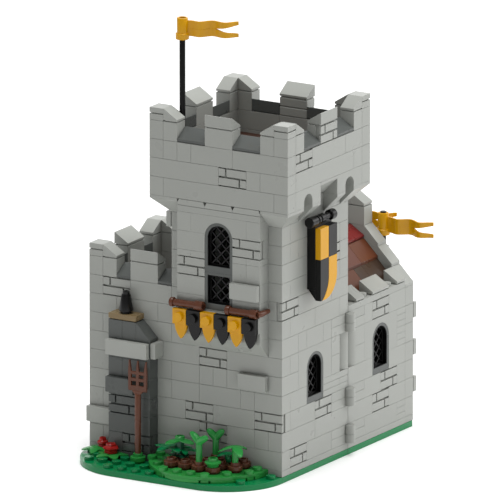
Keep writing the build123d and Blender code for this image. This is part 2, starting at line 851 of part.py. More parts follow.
def wavy_flag(column, row, heights, turn):
    """Moulded flag with a collar, a waved cloth and two tails."""
    flag_low = level(sum(heights) / 2) - flag_height / 2
    start = Plane((across(column), along(row), flag_low), x_dir=(1, 0, 0), z_dir=(0, 0, 1))
    start = start.rotated((0, 0, turn))
    with BuildSketch(start) as cloth:
        with BuildLine():
            Spline(
                (cloth_start, 0),
                (flag_length / 3, wave_depth),
                (flag_length * 2 / 3, -wave_depth),
                (flag_length, wave_depth / 2),
            )
        trace(line_width=flag_depth)
    extrude(cloth.sketch, amount=flag_height, dir=(0, 0, 1))
    # The notch between the tails reaches a little past their tips.
    spread = (flag_height / 2 - tail_height) / (1 - flag_notch)
    overrun = 1.1
    side_plane = Plane(start.origin, x_dir=start.x_dir, z_dir=-start.y_dir)
    with BuildSketch(side_plane.offset(-stud)) as notch:
        Polygon(
            (flag_length * flag_notch, flag_height / 2),
            (flag_length * overrun, flag_height / 2 + spread * (overrun - flag_notch)),
            (flag_length * overrun, flag_height / 2 - spread * (overrun - flag_notch)),
            align=None,
        )
    extrude(notch.sketch, amount=2 * stud, mode=Mode.SUBTRACT)
    post(column, row, heights, collar_radius)
    post(column, row, (heights[0], heights[0] + collar_ring_height), collar_ring_radius)
    post(column, row, heights, pole_radius, Mode.SUBTRACT)


with BuildPart() as flagpole:
    post(*pole_place, (tower_deck[1], pole_top), pole_radius)
save(flagpole, "flagpole")

with BuildPart() as flag:
    wavy_flag(*pole_place, collar_heights, main_turn)
save(flag, "flag")

# Two more flags stand behind the gable, as (column, turn), on poles held by a block each.
rear_pole_row = hall_back + 0.5
rear_poles = [(middle - 1.5, 19), (middle + 1.5, 1)]
rear_pole_heights = (27.2, 33.6)
rear_collar_heights = (29.9, 33.7)
pole_block_half_width = 0.3

with BuildPart() as rear_flagpole:
    for pole_column, pole_turn in rear_poles:
        post(pole_column, rear_pole_row, rear_pole_heights, pole_radius)
        block(
            (pole_column - pole_block_half_width, pole_column + pole_block_half_width),
            (hall_back, rear_pole_row),
            (rear_pole_heights[0], rear_pole_heights[0] + 1),
        )
save(rear_flagpole, "rear_flagpole")

with BuildPart() as rear_flags:
    for pole_column, pole_turn in rear_poles:
        wavy_flag(pole_column, rear_pole_row, rear_collar_heights, pole_turn)
save(rear_flags, "rear_flags")

# ---------------------------------------------------------------- rear hall

eaves = (hall_wall_top - 1, hall_wall_top)
gable_front = hall_back - wall
hall_rows = (hall_front, gable_front)
gable_rows = (gable_front, hall_back)


def side_wall(outer, inner, ledge):
    """Side wall of the hall, with a window and a plate on top that carries the roof."""
    columns = sorted((outer, inner))
    block(columns, hall_rows, (base_top, eaves[0]))
    block(sorted((outer, ledge)), hall_rows, eaves)
    block(columns, hall_window_rows, side_window, Mode.SUBTRACT)


with BuildPart() as hall_right_wall:
    side_wall(right, right - wall, right - 3)
    for bottom in knuckle_bottoms:
        block(right_columns, seam_rows, (bottom, bottom + brick), Mode.SUBTRACT)
    block(right_columns, seam_rows, rounded_heights, Mode.SUBTRACT)
    upright_block(right_columns, seam_rows, rounded_heights, round_edge)
save(hall_right_wall, "hall_right_wall")

with BuildPart() as hall_left_wall:
    side_wall(tower_left, tower_left + wall, tower_left + 3)
save(hall_left_wall, "hall_left_wall")

# The gable steps in a stud a course, under sloped copings, to a raised middle.
gable_foot = 23
gable_steps = 3
gable_brow = 35
gable_peak = 37
gable_half = tower_width * stud / 2

with BuildPart() as gable_wall:
    right_side = [(gable_half, level(base_top)), (gable_half, level(gable_foot) + slope_lip)]
    for step in range(1, gable_steps):
        step_foot = level(gable_foot + brick * step)
        right_side.append((gable_half - step * stud, step_foot))
        right_side.append((gable_half - step * stud, step_foot + slope_lip))
    brow = gable_half - gable_steps * stud
    right_side.append((brow, level(gable_foot + brick * gable_steps)))
    right_side.append((brow, level(gable_brow) + cheese_lip))
    left_side = [(-x, z) for x, z in reversed(right_side)]
    profile_across(right_side + [(0, level(gable_peak))] + left_side, gable_rows)
    block(window_columns, gable_rows, side_window, Mode.SUBTRACT)
save(gable_wall, "gable_wall")

# The roof: a row of slopes on each side plate, a second row that meets at the middle, and a ridge.
lower_roof = hall_wall_top
upper_roof = lower_roof + brick
ridge_foot = upper_roof + brick
roof_half = 3 * stud

with BuildPart() as roof_lower:
    for side in (1, -1):
        low = level(lower_roof)
        row_points = [
            (side * roof_half, low),
            (side * roof_half, low + slope_lip),
            (side * (roof_half - stud), level(upper_roof)),
            (side * (roof_half - 2 * stud), level(upper_roof)),
            (side * (roof_half - 2 * stud), low),
        ]
        profile_across(row_points, hall_rows)
save(roof_lower, "roof_lower")


def roof_row(half_width, flat_half_width, heights, lip):
    """Row of the roof that crosses from side to side, with a slope at each end."""
    low, high = level(heights[0]), level(heights[1])
    right_points = [(half_width, low), (half_width, low + lip), (flat_half_width, high)]
    left_points = [(-x, z) for x, z in reversed(right_points)]
    if flat_half_width == 0:
        left_points = left_points[1:]
    profile_across(right_points + left_points, hall_rows)


with BuildPart() as roof_upper:
    roof_row(roof_half - stud, roof_half - 2 * stud, (upper_roof, ridge_foot), slope_lip)
save(roof_upper, "roof_upper")

with BuildPart() as roof_ridge:
    roof_row(roof_half - 2 * stud, 0, (ridge_foot, ridge_foot + cap_height), cheese_lip)
save(roof_ridge, "roof_ridge")

hall_cap_rows = [(back + 1, back + 2), (back + 3, back + 5), (back + 6, back + 7)]
hall_cap_heights = (hall_wall_top, hall_wall_top + cap_height)

with BuildPart() as hall_caps:
    for rows in hall_cap_rows:
        slope_across(right, right - wall, rows, hall_cap_heights, cheese_lip)
        slope_across(tower_left, tower_left + wall, rows, hall_cap_heights, cheese_lip)
save(hall_caps, "hall_caps")

with BuildPart() as hall_frames:
    frame_across(right_columns, hall_window_rows, side_window)
    frame_across(tower_left_columns, hall_window_rows, side_window)
    frame_along(window_columns, gable_rows, side_window, True)
save(hall_frames, "hall_frames")

with BuildPart() as hall_lattices:
    pane_across(right, -1, hall_window_rows, side_window)
    pane_across(tower_left, 1, hall_window_rows, side_window)
    pane_along(window_columns, hall_back, -1, side_window, True)
save(hall_lattices, "hall_lattices")

# ---------------------------------------------------------------- hinge

hinge_x = across(right) + knuckle_offset
hinge_y = along(back)
half_knuckle = brick * plate / 2
pin_length = half_knuckle - 1.0
bore_spare = 0.2            # bore, deeper than the pin is long
pocket = 0.3                # room around a knuckle in the brick that turns past it


def upright(radius, low, height, mode=Mode.ADD):
    """Cylinder on the hinge's axis."""
    with Locations((hinge_x, hinge_y, low)):
        Cylinder(radius, height, align=(Align.CENTER, Align.CENTER, Align.MIN), mode=mode)


with BuildPart() as hinge_front:
    for bottom in knuckle_bottoms:
        low = level(bottom)
        block(right_columns, back_rows, (bottom, bottom + brick))
        upright(knuckle_radius + pocket, low + half_knuckle, half_knuckle, Mode.SUBTRACT)
        upright(knuckle_radius, low + knuckle_gap, half_knuckle - knuckle_gap)
        upright(pin_radius, low + knuckle_gap, half_knuckle - knuckle_gap + pin_length)
save(hinge_front, "hinge_front")

with BuildPart() as hinge_rear:
    for bottom in knuckle_bottoms:
        low = level(bottom)
        upper = low + half_knuckle + knuckle_gap
        block(right_columns, seam_rows, (bottom, bottom + brick))
        upright(knuckle_radius + pocket, low, half_knuckle + knuckle_gap, Mode.SUBTRACT)
        upright(knuckle_radius, upper, half_knuckle - 2 * knuckle_gap)
        upright(pin_radius + pin_clearance, upper, pin_length + bore_spare, Mode.SUBTRACT)
save(hinge_rear, "hinge_rear")
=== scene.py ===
"""Toy castle keep in building bricks: a battlemented tower with a wing, a garden and a hinged hall.

Metres, +Z up, +Y to the rear, in the frame of the CAD model. Columns across and rows back are
counted in studs from the wing's front left corner, heights in plates from the underside. The
profiles of turned and swept pieces are in millimetres.
"""

import math

import bmesh
import bpy
import numpy as np
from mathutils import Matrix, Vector


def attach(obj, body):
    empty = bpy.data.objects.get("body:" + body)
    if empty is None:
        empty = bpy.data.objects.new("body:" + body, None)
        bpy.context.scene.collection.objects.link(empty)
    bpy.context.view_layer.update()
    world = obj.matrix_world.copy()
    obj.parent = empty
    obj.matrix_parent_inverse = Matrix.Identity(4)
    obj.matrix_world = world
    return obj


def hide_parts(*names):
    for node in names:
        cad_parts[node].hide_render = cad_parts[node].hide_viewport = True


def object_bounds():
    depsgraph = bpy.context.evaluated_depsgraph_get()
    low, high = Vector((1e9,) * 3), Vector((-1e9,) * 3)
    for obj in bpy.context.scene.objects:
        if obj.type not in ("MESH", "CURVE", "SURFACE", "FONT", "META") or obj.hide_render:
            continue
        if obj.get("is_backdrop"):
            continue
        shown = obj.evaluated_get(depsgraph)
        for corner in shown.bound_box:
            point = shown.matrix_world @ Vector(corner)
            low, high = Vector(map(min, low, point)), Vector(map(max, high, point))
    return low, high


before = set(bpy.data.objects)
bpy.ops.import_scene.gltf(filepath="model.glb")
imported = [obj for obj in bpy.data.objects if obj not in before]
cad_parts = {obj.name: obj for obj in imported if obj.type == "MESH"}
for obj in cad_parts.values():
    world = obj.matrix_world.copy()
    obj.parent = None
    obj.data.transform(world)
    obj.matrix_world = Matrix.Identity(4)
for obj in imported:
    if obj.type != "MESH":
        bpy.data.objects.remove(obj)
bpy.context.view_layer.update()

# ---------------------------------------------------------------- base plates
# Two thin plates of green ABS under the tower and the hall, injection moulded with a gloss
# finish. The walls are pressed on to their studs, and the hall's plate has one round corner.

stud = 0.008                # pitch of the grid
plate = 0.0032              # height of a plate
seam = 0.00004              # half the gap between two neighbours
moulded_edge = 0.00013      # radius that the mould leaves on every edge
crease = math.radians(35)   # edges that bend more than this are rounded, or stay sharp
box_sides = np.array([[0, 3, 2, 1], [4, 5, 6, 7], [0, 1, 5, 4], [1, 2, 6, 5], [2, 3, 7, 6],
                      [3, 0, 4, 7]])
tones = np.random.default_rng(11)


def across(column):
    """X of a column: the distance from the tower's middle column, times the pitch."""
    return (np.asarray(column, float) - 10) * stud


def along(row):
    """Y of a row: the distance from the tower's middle row, times the pitch."""
    return (np.asarray(row, float) - 4) * stud


def level(plates):
    """Z of a height counted in plates."""
    return np.asarray(plates, float) * plate


def blocks(spans):
    """Upright boxes, each (column, column, row, row, height, height), less half a seam a side."""
    spans = np.asarray(spans, float).reshape(-1, 6)
    shrink = np.array([seam, -seam])
    x = (across(spans[:, 0:2]) + shrink)[:, [0, 1, 1, 0, 0, 1, 1, 0]]
    y = (along(spans[:, 2:4]) + shrink)[:, [0, 0, 1, 1, 0, 0, 1, 1]]
    z = (level(spans[:, 4:6]) + shrink)[:, [0, 0, 0, 0, 1, 1, 1, 1]]
    return np.stack([x, y, z], axis=2), [box_sides]


def prisms(outline, plane, spans):
    """The outline in metres, carried between the two ends of each span, less half a seam an end.

    The plane is "xy", "xz" or "yz", and the outline is carried along the axis that is left, whose
    spans are in plates, rows or columns.
    """
    outline = np.asarray(outline, float)
    to_metres = {"xy": level, "xz": along, "yz": across}[plane]
    spans = to_metres(spans).reshape(-1, 2) + np.array([seam, -seam])
    following = np.roll(outline, -1, axis=0)
    turn = np.sum(outline[:, 0] * following[:, 1] - following[:, 0] * outline[:, 1])
    if turn < 0:
        outline = outline[::-1]
    count = len(outline)
    points = np.zeros((len(spans), 2 * count, 3))
    first, second = ["xyz".index(axis) for axis in plane]
    points[:, :, first] = np.tile(outline[:, 0], 2)
    points[:, :, second] = np.tile(outline[:, 1], 2)
    points[:, :, 3 - first - second] = np.repeat(spans, count, axis=1)
    near = np.arange(count)
    after = np.roll(near, -1)
    sides = np.stack([near, after, after + count, near + count], axis=1)
    faces = [sides, near[None, ::-1], near[None] + count]
    if plane == "xz":
        faces = [face[:, ::-1] for face in faces]
    return points, faces


def arc(centre, radius, start, end, steps):
    """Points on a circle: centre plus radius times cosine and sine, from start to end degrees."""
    angles = np.radians(np.linspace(start, end, steps + 1))
    return np.stack([centre[0] + radius * np.cos(angles), centre[1] + radius * np.sin(angles)],
                    axis=1)


def linear(colour):
    """Linear light of an sRGB hex colour: a share c gives c / 12.92 when it is dark, and
    ((c + 0.055) / 1.055) to the 2.4 when it isn't."""
    shares = np.array([int(colour[i : i + 2], 16) for i in (1, 3, 5)]) / 255
    light = np.where(shares <= 0.04045, shares / 12.92, ((shares + 0.055) / 1.055) ** 2.4)
    return [*light.tolist(), 1.0]


def add_node(material, kind, inputs, **settings):
    """Adds one node. Inputs are values or other nodes' outputs, by socket name."""
    node = material.node_tree.nodes.new("ShaderNode" + kind)
    for name, value in settings.items():
        setattr(node, name, value)
    for name, value in inputs.items():
        if isinstance(value, bpy.types.NodeSocket):
            material.node_tree.links.new(value, node.inputs[name])
        else:
            node.inputs[name].default_value = value
    return node


def moulded_abs(slot, shade, colour, roughness, tone_spread=0.05):
    """Moulded ABS: even colour that drifts a little from piece to piece, a near mirror skin with
    the faint ripple that a steel mould leaves, and gloss that varies where the melt flowed.
    Returns the finish of a piece: the material, and the record's slot that it belongs to."""
    material = bpy.data.materials.new("moulded_abs_" + shade)
    material.use_nodes = True
    material.node_tree.nodes.clear()
    place = add_node(material, "TexCoord", {}).outputs["Object"]
    # Ripple of the skin: about 2.5 mm from crest to crest. Flow marks: about 14 mm.
    ripple = add_node(material, "TexNoise", {"Vector": place, "Scale": 1 / 0.0025, "Detail": 1.0})
    flow = add_node(material, "TexNoise", {"Vector": place, "Scale": 1 / 0.014, "Detail": 3.0})
    tone = add_node(material, "Attribute", {}, attribute_name="tone")
    from_tone = {"Value": tone.outputs["Fac"], "From Min": -1.0, "From Max": 1.0}
    from_flow = {"Value": flow.outputs["Fac"], "From Min": 0.3, "From Max": 0.7}
    value = add_node(
        material, "MapRange", {**from_tone, "To Min": 1 - tone_spread, "To Max": 1 + tone_spread}
    )
    drift = add_node(material, "MapRange", {**from_flow, "To Min": 0.992, "To Max": 1.008})
    both = add_node(
        material, "Math", {0: value.outputs["Result"], 1: drift.outputs["Result"]},
        operation="MULTIPLY",
    )
    tinted = add_node(
        material, "HueSaturation", {"Color": linear(colour), "Value": both.outputs["Value"]}
    )
    gloss = add_node(
        material, "MapRange", {**from_flow, "To Min": roughness - 0.03, "To Max": roughness + 0.05}
    )
    bump = add_node(
        material, "Bump", {"Height": ripple.outputs["Fac"], "Strength": 0.25, "Distance": 0.00004}
    )
    skin = add_node(
        material,
        "BsdfPrincipled",
        {"Base Color": tinted.outputs["Color"], "Roughness": gloss.outputs["Result"],
         "Normal": bump.outputs["Normal"], "IOR": 1.53, "Specular IOR Level": 0.25},
    )
    add_node(material, "OutputMaterial", {"Surface": skin.outputs["BSDF"]})
    return material, slot


def piece(name, finish, node, parts, body="front", edge=moulded_edge, segments=2):
    """One object, in place of a CAD node, from parts: each is (copies, points, 3) with its lists of
    faces, and each copy has its own tone. An edge is the radius that rounds its corners."""
    material, slot = finish
    points, faces, shades, offset = [], [], [], 0
    for copies, shapes in parts:
        starts = offset + np.arange(len(copies)) * copies.shape[1]
        copy_tones = tones.uniform(-1, 1, len(copies))
        for shape in shapes:
            faces += (shape[None] + starts[:, None, None]).reshape(-1, shape.shape[1]).tolist()
            shades.append(np.repeat(copy_tones, len(shape)))
        points.append(copies.reshape(-1, 3))
        offset += copies.shape[0] * copies.shape[1]
    mesh = bpy.data.meshes.new(name)
    mesh.from_pydata(np.concatenate(points).tolist(), [], faces)
    mesh.attributes.new("tone", "FLOAT", "FACE").data.foreach_set("value", np.concatenate(shades))
    mesh.polygons.foreach_set("use_smooth", np.ones(len(mesh.polygons), bool))
    mesh.materials.append(material)
    made = bpy.data.objects.new(name, mesh)
    bpy.context.scene.collection.objects.link(made)
    if edge:
        rounding = made.modifiers.new("mould_radius", "BEVEL")
        rounding.width = edge
        rounding.segments = segments
        rounding.angle_limit = crease
        rounding.harden_normals = True
    else:
        mesh.set_sharp_from_angle(angle=crease)
    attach(made, body)
    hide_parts(node)
    return made


green = moulded_abs("green", "green", "#057642", 0.22)

base_plan = [(across(0), along(0)), (across(14), along(0)), (across(14), along(8)),
             (across(0), along(8))]
piece("front_base_plate", green, "base_front", [prisms(base_plan, "xy", (0, 1))])

corner_radius = 0.0012
hall_line = 8.025           # the row where the hall begins, 0.2 mm behind the tower
hall_front = along(hall_line)
rear_plan = np.concatenate([
    [(across(6), hall_front), (across(14), hall_front)],
    arc((across(14) - corner_radius, along(16) - corner_radius), corner_radius, 0, 90, 8),
    [(across(6), along(16))],
])
piece("rear_base_plate", green, "base_rear", [prisms(rear_plan, "xy", (0, 1))], body="rear")

# ---------------------------------------------------------------- garden plate
# A strip of the same green ABS in front of the walls, with quarter-round ends. Its studs show
# wherever nothing is pressed on to them. A stud is 4.8 mm across and 1.7 mm high.

stud_profile = [(0, -0.2), (2.4, -0.2), (2.4, 1.6), (2.3, 1.7), (0, 1.7)]

def grid_places(places):
    """Points in metres from (column, row, height) in studs and plates."""
    places = np.asarray(places, float).reshape(-1, 3)
    return np.stack([across(places[:, 0]), along(places[:, 1]), level(places[:, 2])], axis=1)


def tube_faces(rings, sides):
    """Faces of a tube of rings that starts and ends in a fan round the last two points."""
    near = np.arange(sides)
    after = np.roll(near, -1)
    row = (np.arange(rings - 1) * sides)[:, None]
    quads = np.stack([near + row, after + row, after + row + sides, near + row + sides], axis=2)
    last = (rings - 1) * sides
    foot = np.stack([after, near, np.full(sides, rings * sides)], axis=1)
    head = np.stack([near + last, after + last, np.full(sides, rings * sides + 1)], axis=1)
    return [quads.reshape(-1, 4), foot, head]


def turned(profile, places, way=np.eye(3), sides=24, petals=0):
    """Profile of (radius, height) in millimetres turned round an axis, one copy at each place of
    (column, row, height).

    A point is radius times cosine, radius times sine, and height, then turned by the matrix way.
    Petals make the radius swell and shrink by 7 % that many times on its way round. The profile
    starts and ends on the axis, where its points close to one.
    """
    profile = np.asarray(profile, float) / 1000
    rings = profile[1:-1]
    angles = np.arange(sides) / sides * 2 * math.pi
    swell = 1 + (0.07 if petals else 0) * np.cos(petals * angles)
    circle = np.stack([swell * np.cos(angles), swell * np.sin(angles), np.zeros(sides)], axis=1)
    walls = rings[:, 0, None, None] * circle + rings[:, 1, None, None] * np.array([0, 0, 1])
    ends = np.array([(0, 0, profile[0, 1]), (0, 0, profile[-1, 1])])
    local = np.concatenate([walls.reshape(-1, 3), ends]) @ np.asarray(way, float).T
    return grid_places(places)[:, None] + local[None], tube_faces(len(rings), sides)


garden_radius = 3.99 * stud
garden_plan = np.concatenate([
    [(across(14), along(0)), (across(0), along(0))],
    arc((across(0) + garden_radius, along(-4) + garden_radius), garden_radius, 180, 270, 24),
    arc((across(14) - garden_radius, along(-4) + garden_radius), garden_radius, 270, 360, 24),
])
columns, rows = np.meshgrid(np.arange(14) + 0.5, np.arange(-4, 0) + 0.5)
columns, rows = columns.ravel(), rows.ravel()
# A stud stands where its whole foot fits on the plate, and not under the bed or the buttress.
from_left, from_right = np.hypot(columns - 4, rows), np.hypot(columns - 10, rows)
on_plate = ((columns > 4) | (from_left < 3.75)) & ((columns < 10) | (from_right < 3.75))
from_bed = np.hypot(columns - 9, rows)
under_buttress = (columns > 2) & (columns < 5) & (rows > -1)
bare = on_plate & (from_bed > 4.3) & ~under_buttress
garden_studs = np.stack([columns[bare], rows[bare], np.ones(bare.sum())], axis=1)
piece("garden_strip", green, "garden_plate",
      [prisms(garden_plan, "xy", (0, 1)), turned(stud_profile, garden_studs)])

# ---------------------------------------------------------------- flower bed
# A half-round plate of bright green ABS, pressed on to the garden plate. It has shallow slots
# under its rim, and studs along the front where no pot stands.

bright_green = moulded_abs("bright_green", "bright_green", "#298A3D", 0.2)
bed_plan = arc((across(9), along(0)), 4 * stud, 180, 360, 64)
slot_angles = np.array([237, 251.5, 289, 298, 332.5, 341])[:, None]
slot_reach = 0.002 * np.array([0, 0, 1, 1, 0, 0])      # the slots are 2 mm deep
slot_turns = slot_angles + np.array([-1.4, -0.9, -0.89, 0.89, 0.9, 1.4])
plain_turns = np.setdiff1d(np.arange(180, 361, 3), np.round(slot_turns / 3) * 3)
turns = np.concatenate([plain_turns, slot_turns.ravel()])
reaches = 4 * stud - np.concatenate([np.zeros(len(plain_turns)),
                                     np.tile(slot_reach, len(slot_angles))])
order = np.argsort(turns)
turns, reaches = np.radians(turns[order]), reaches[order]
slotted_plan = np.stack([across(9) + reaches * np.cos(turns), along(0) + reaches * np.sin(turns)],
                        axis=1)
bed_studs = [(5.5, -0.5, 2), (6.5, -0.5, 2), (5.5, -1.5, 2), (6.5, -1.5, 2), (6.5, -2.5, 2),
             (7.5, -3.5, 2), (8.5, -3.5, 2), (9.5, -3.5, 2), (10.5, -3.5, 2), (11.5, -2.5, 2),
             (12.5, -1.5, 2), (12.5, -0.5, 2), (7.5, -0.5, 2), (8.5, -0.5, 2)]
piece(
    "flower_bed", bright_green, "garden_bed",
    [prisms(slotted_plan, "xy", (1, 1.5)), prisms(bed_plan, "xy", (1.48, 2)),
     turned(stud_profile, bed_studs)],
)

# ---------------------------------------------------------------- pots
# Round one-stud bricks of reddish brown ABS, a plate high, each with a narrow foot and an open
# stud that a stem is pressed into.

brown = moulded_abs("reddish_brown", "reddish_brown", "#5C3626", 0.24, 0.08)
pot_profile = [(0, 0), (2.8, 0), (2.9, 0.7), (3.7, 0.9), (3.85, 1.1), (3.85, 3), (3.7, 3.2),
               (2.4, 3.2), (2.4, 4.7), (2.3, 4.8), (1.6, 4.8), (1.6, 3.4), (0, 3.4)]
pot_places = [(7.5, -2.5, 2), (8.5, -2.5, 2), (9.5, -2.5, 2), (10.5, -2.5, 2), (7.5, -1.5, 2),
              (8.5, -1.5, 2), (9.5, -1.5, 2), (10.5, -1.5, 2), (11.5, -1.5, 2), (9.5, -0.5, 2),
              (10.5, -0.5, 2), (11.5, -0.5, 2)]
piece("garden_pots_round", brown, "garden_pots", [turned(pot_profile, pot_places)], edge=0)

# ---------------------------------------------------------------- plants
# Moulded garden pieces in soft green and red ABS: forked stems and a palm in the pots, a bush of
# star leaves, a sprout, two flowers over leaves, and the round plate that the fork stands on.

# The bush is the same green plastic as the leaves above it, painted darker as painted shade under
# them.
painted_shade_green = moulded_abs("green", "painted_shade_green", "#154D35", 0.24, 0.1)
red = moulded_abs("dark_red", "red", "#961915", 0.25, 0.04)


def facing_out(made):
    """Turns every face of a piece outwards."""
    shape = bmesh.new()
    shape.from_mesh(made.data)
    bmesh.ops.recalc_face_normals(shape, faces=shape.faces)
    shape.to_mesh(made.data)
    shape.free()


def leaf(column, row, height, reach, lobes, turn, droop, waist, narrow):
    """Thin leaf with pointed lobes, its reach and droop in millimetres. At angle a its radius is
    reach times waist + (1 - waist) times (1 - |sin(lobes * (a - turn) / 2)| to the 1.4) to the
    power narrow. A point falls by droop times the square of its distance over reach, and the leaf
    thins by 40 % towards its edge."""
    around, rings, half_thickness = 72, 7, 0.0005
    reach, droop = reach / 1000, droop / 1000
    angles = np.linspace(0, 2 * math.pi, around, endpoint=False)
    shares = np.linspace(0, 1, rings + 1)[1:, None]
    blade = (1 - abs(np.sin(lobes * (angles - math.radians(turn)) / 2)) ** 1.4) ** narrow
    out = shares * reach * (waist + (1 - waist) * blade)
    x, y = across(column) + out * np.cos(angles), along(row) + out * np.sin(angles)
    sheets = []
    for half in (half_thickness, -half_thickness):
        z = level(height) - droop * (out / reach) ** 2 + half * (1 - 0.4 * shares)
        middle = (across(column), along(row), level(height) + half)
        sheets.append(np.concatenate([[middle], np.stack([x, y, z], axis=2).reshape(-1, 3)]))
    near = np.arange(around)
    after = np.roll(near, -1)
    fan = np.stack([np.zeros(around, int), near + 1, after + 1], axis=1)
    start = (np.arange(rings - 1) * around + 1)[:, None]
    quads = np.stack([near + start, near + start + around, after + start + around, after + start],
                     axis=2).reshape(-1, 4)
    below, rim_start = len(sheets[0]), (rings - 1) * around + 1
    edge = np.stack([near, near + below, after + below, after], axis=1) + rim_start
    faces = [fan, quads, fan[:, ::-1] + below, quads[:, ::-1] + below, edge]
    return np.concatenate(sheets)[None], faces


def swept(path, radii, sides=16):
    """Round rod along a path of (column, row, height), its radii in millimetres: a ring is its
    centre plus the radius times cosine and sine on two directions across the path. Each end closes
    to one point."""
    path, radii = grid_places(path), np.asarray(radii, float) / 1000
    run = np.gradient(path, axis=0)
    run /= np.linalg.norm(run, axis=1)[:, None]
    helper = np.where(abs(run[:, 2:3]) > 0.9, [[1.0, 0, 0]], [[0, 0, 1.0]])
    side = np.cross(run, helper)
    side /= np.linalg.norm(side, axis=1)[:, None]
    other = np.cross(run, side)
    angles = np.arange(sides) / sides * 2 * math.pi
    rings = path[:, None] + radii[:, None, None] * (
        np.cos(angles)[:, None] * side[:, None] + np.sin(angles)[:, None] * other[:, None])
    points = np.concatenate([rings.reshape(-1, 3), path[:1], path[-1:]])
    return points[None], tube_faces(len(path), sides)


def stem(column, row, foot, top, radius=1.6):
    """Upright round stem with a softly rounded top, its radius in millimetres."""
    run = (top - foot) * plate * 1000
    profile = [(0, 0), (radius, 0), (radius, run - 0.6), (radius - 0.5, run), (0, run)]
    return turned(profile, [(column, row, foot)])


def fork_of_leaves(column, row, foot, crotch, arm):
    """Stem whose top parts into two tapering arms, each one way along arm, which is in studs, studs
    and plates."""
    parts = [stem(column, row, foot, crotch)]
    for way in (1, -1):
        shares = np.array([0, 0.3, 0.6, 0.85, 1.0])
        rises = np.array([-1.6, -0.3, 0.4, 0.9, 1.0])
        path = np.stack([column + way * arm[0] * shares, row + way * arm[1] * shares,
                         crotch + arm[2] * rises], axis=1)
        parts.append(swept(path, [1.5, 1.9, 1.7, 1.3, 0.7]))
    return parts


sprout_profile = [(0, 0), (2.8, 0), (3.1, 1.2), (3.9, 1.9), (4.2, 2.3), (4.1, 2.7), (3, 3),
                  (2.4, 3.1), (2.4, 4.5), (2.3, 4.6), (1.6, 4.6), (1.6, 3), (0, 3)]
leaf_stud = [(0, 0), (2.6, 0), (2.4, 0.5), (2.4, 1.5), (2.1, 1.8), (1.6, 1.8), (1.6, 1.2), (0, 1.2)]
bright_plants = [*fork_of_leaves(9.5, -2.5, 3, 7.2, (0.78, -0.3, 0.5)),
                 *fork_of_leaves(9.5, -0.5, 3, 6.8, (0.5, 0.2, 0.55)), stem(11.5, -1.5, 3, 6.1),
                 leaf(11.5, -1.5, 6.05, 8.6, 3, 200, 3.4, 0.24, 0.9),
                 turned(sprout_profile, [(10.5, -2.5, 3)], sides=32),
                 leaf(7.5, -1.5, 5.75, 8.2, 3, 0, 1.3, 0.34, 0.9),
                 turned(leaf_stud, [(7.5, -1.5, 5.8)]),
                 leaf(2.5, -1.5, 1.75, 8.8, 5, 315, 0.9, 0.58, 0.9),
                 leaf(1.05, -0.8, 1.9, 7.9, 5, 208, 1.6, 0.56, 0.85), stem(0.8, -0.65, 1, 1.9, 2),
                 turned(pot_profile, [(4.45, -1.5, 1)], sides=32)]
facing_out(piece("garden_stems_and_leaves", bright_green, "garden_plants", bright_plants, edge=0))
# Bush and stem in the darker green: painted shade under the leaves above.
dark_plants = [leaf(7.5, -1.5, 3.4, 7, 5, 250, 1.4, 0.44, 1), stem(7.5, -1.5, 3, 5.7, 2.2)]
facing_out(piece("garden_bush", painted_shade_green, "garden_plants", dark_plants, edge=0))
middle_leaves = [leaf(6.9, -1.5, 4.55, 9.5, 5, 180, 1, 0.44, 0.9),
                 leaf(7.7, -1.3, 4.2, 7.2, 5, 20, 1, 0.46, 0.9),
                 leaf(10.7, -1, 4.4, 5.8, 5, 230, 1.2, 0.46, 0.9), stem(10.7, -1, 3, 4.4)]
facing_out(piece("garden_leaves", green, "garden_plants", middle_leaves, edge=0))

bloom_profile = np.array([(0, 0), (2.6, 0), (3.1, 0.4), (3.2, 1.5), (2.9, 1.9), (3.7, 2.3),
                          (3.9, 2.8), (3.6, 3.4), (2.7, 3.8), (2.4, 4), (2.4, 4.8), (2.1, 5.1),
                          (1.4, 5.1), (1.2, 4.5), (0, 4.4)])
blooms = [
    turned(bloom_profile, [(2.5, -1.5, 1.8)], sides=40, petals=5),
    turned(bloom_profile * (0.72, 1.12), [(1.32, -0.55, 1.63)], sides=40, petals=5),
    stem(1.32, -0.55, 1, 2, 1), stem(2.5, -1.5, 1, 2, 1.4),
]
facing_out(piece("red_flowers", red, "garden_plants", blooms, edge=0))

# ---------------------------------------------------------------- walls of tower and wing
# Light bluish grey ABS bricks, one stud thick, laid in bond. The corner bricks change sides from
# course to course. Some are masonry bricks, whose outer face is moulded with sunk joints.

light_grey = moulded_abs("light_grey", "light_bluish_grey", "#969893", 0.3, 0.02)


def laid(side, low, high, *courses, height=3):
    """Spans of the bricks between each two cuts of a course, on the wall between low and high. The
    courses are {bottom: cuts}, in plates and studs."""
    spans = []
    for bottom, cuts in [item for course in courses for item in course.items()]:
        for start, end in zip(cuts, cuts[1:]):
            ends = (low, high, start, end) if side == "along" else (start, end, low, high)
            spans.append((*ends, bottom, bottom + height))
    return spans


def in_wall(facing, face, ends, near, deep):
    """Plan (column, column, row, row) of a span of a wall that faces one way, between two ends
    along the wall and two depths behind its face."""
    inward = 1 if facing in ("front", "left") else -1
    depths = sorted((face + inward * near, face + inward * deep))
    return (*ends, *depths) if facing in ("front", "rear") else (*depths, *ends)


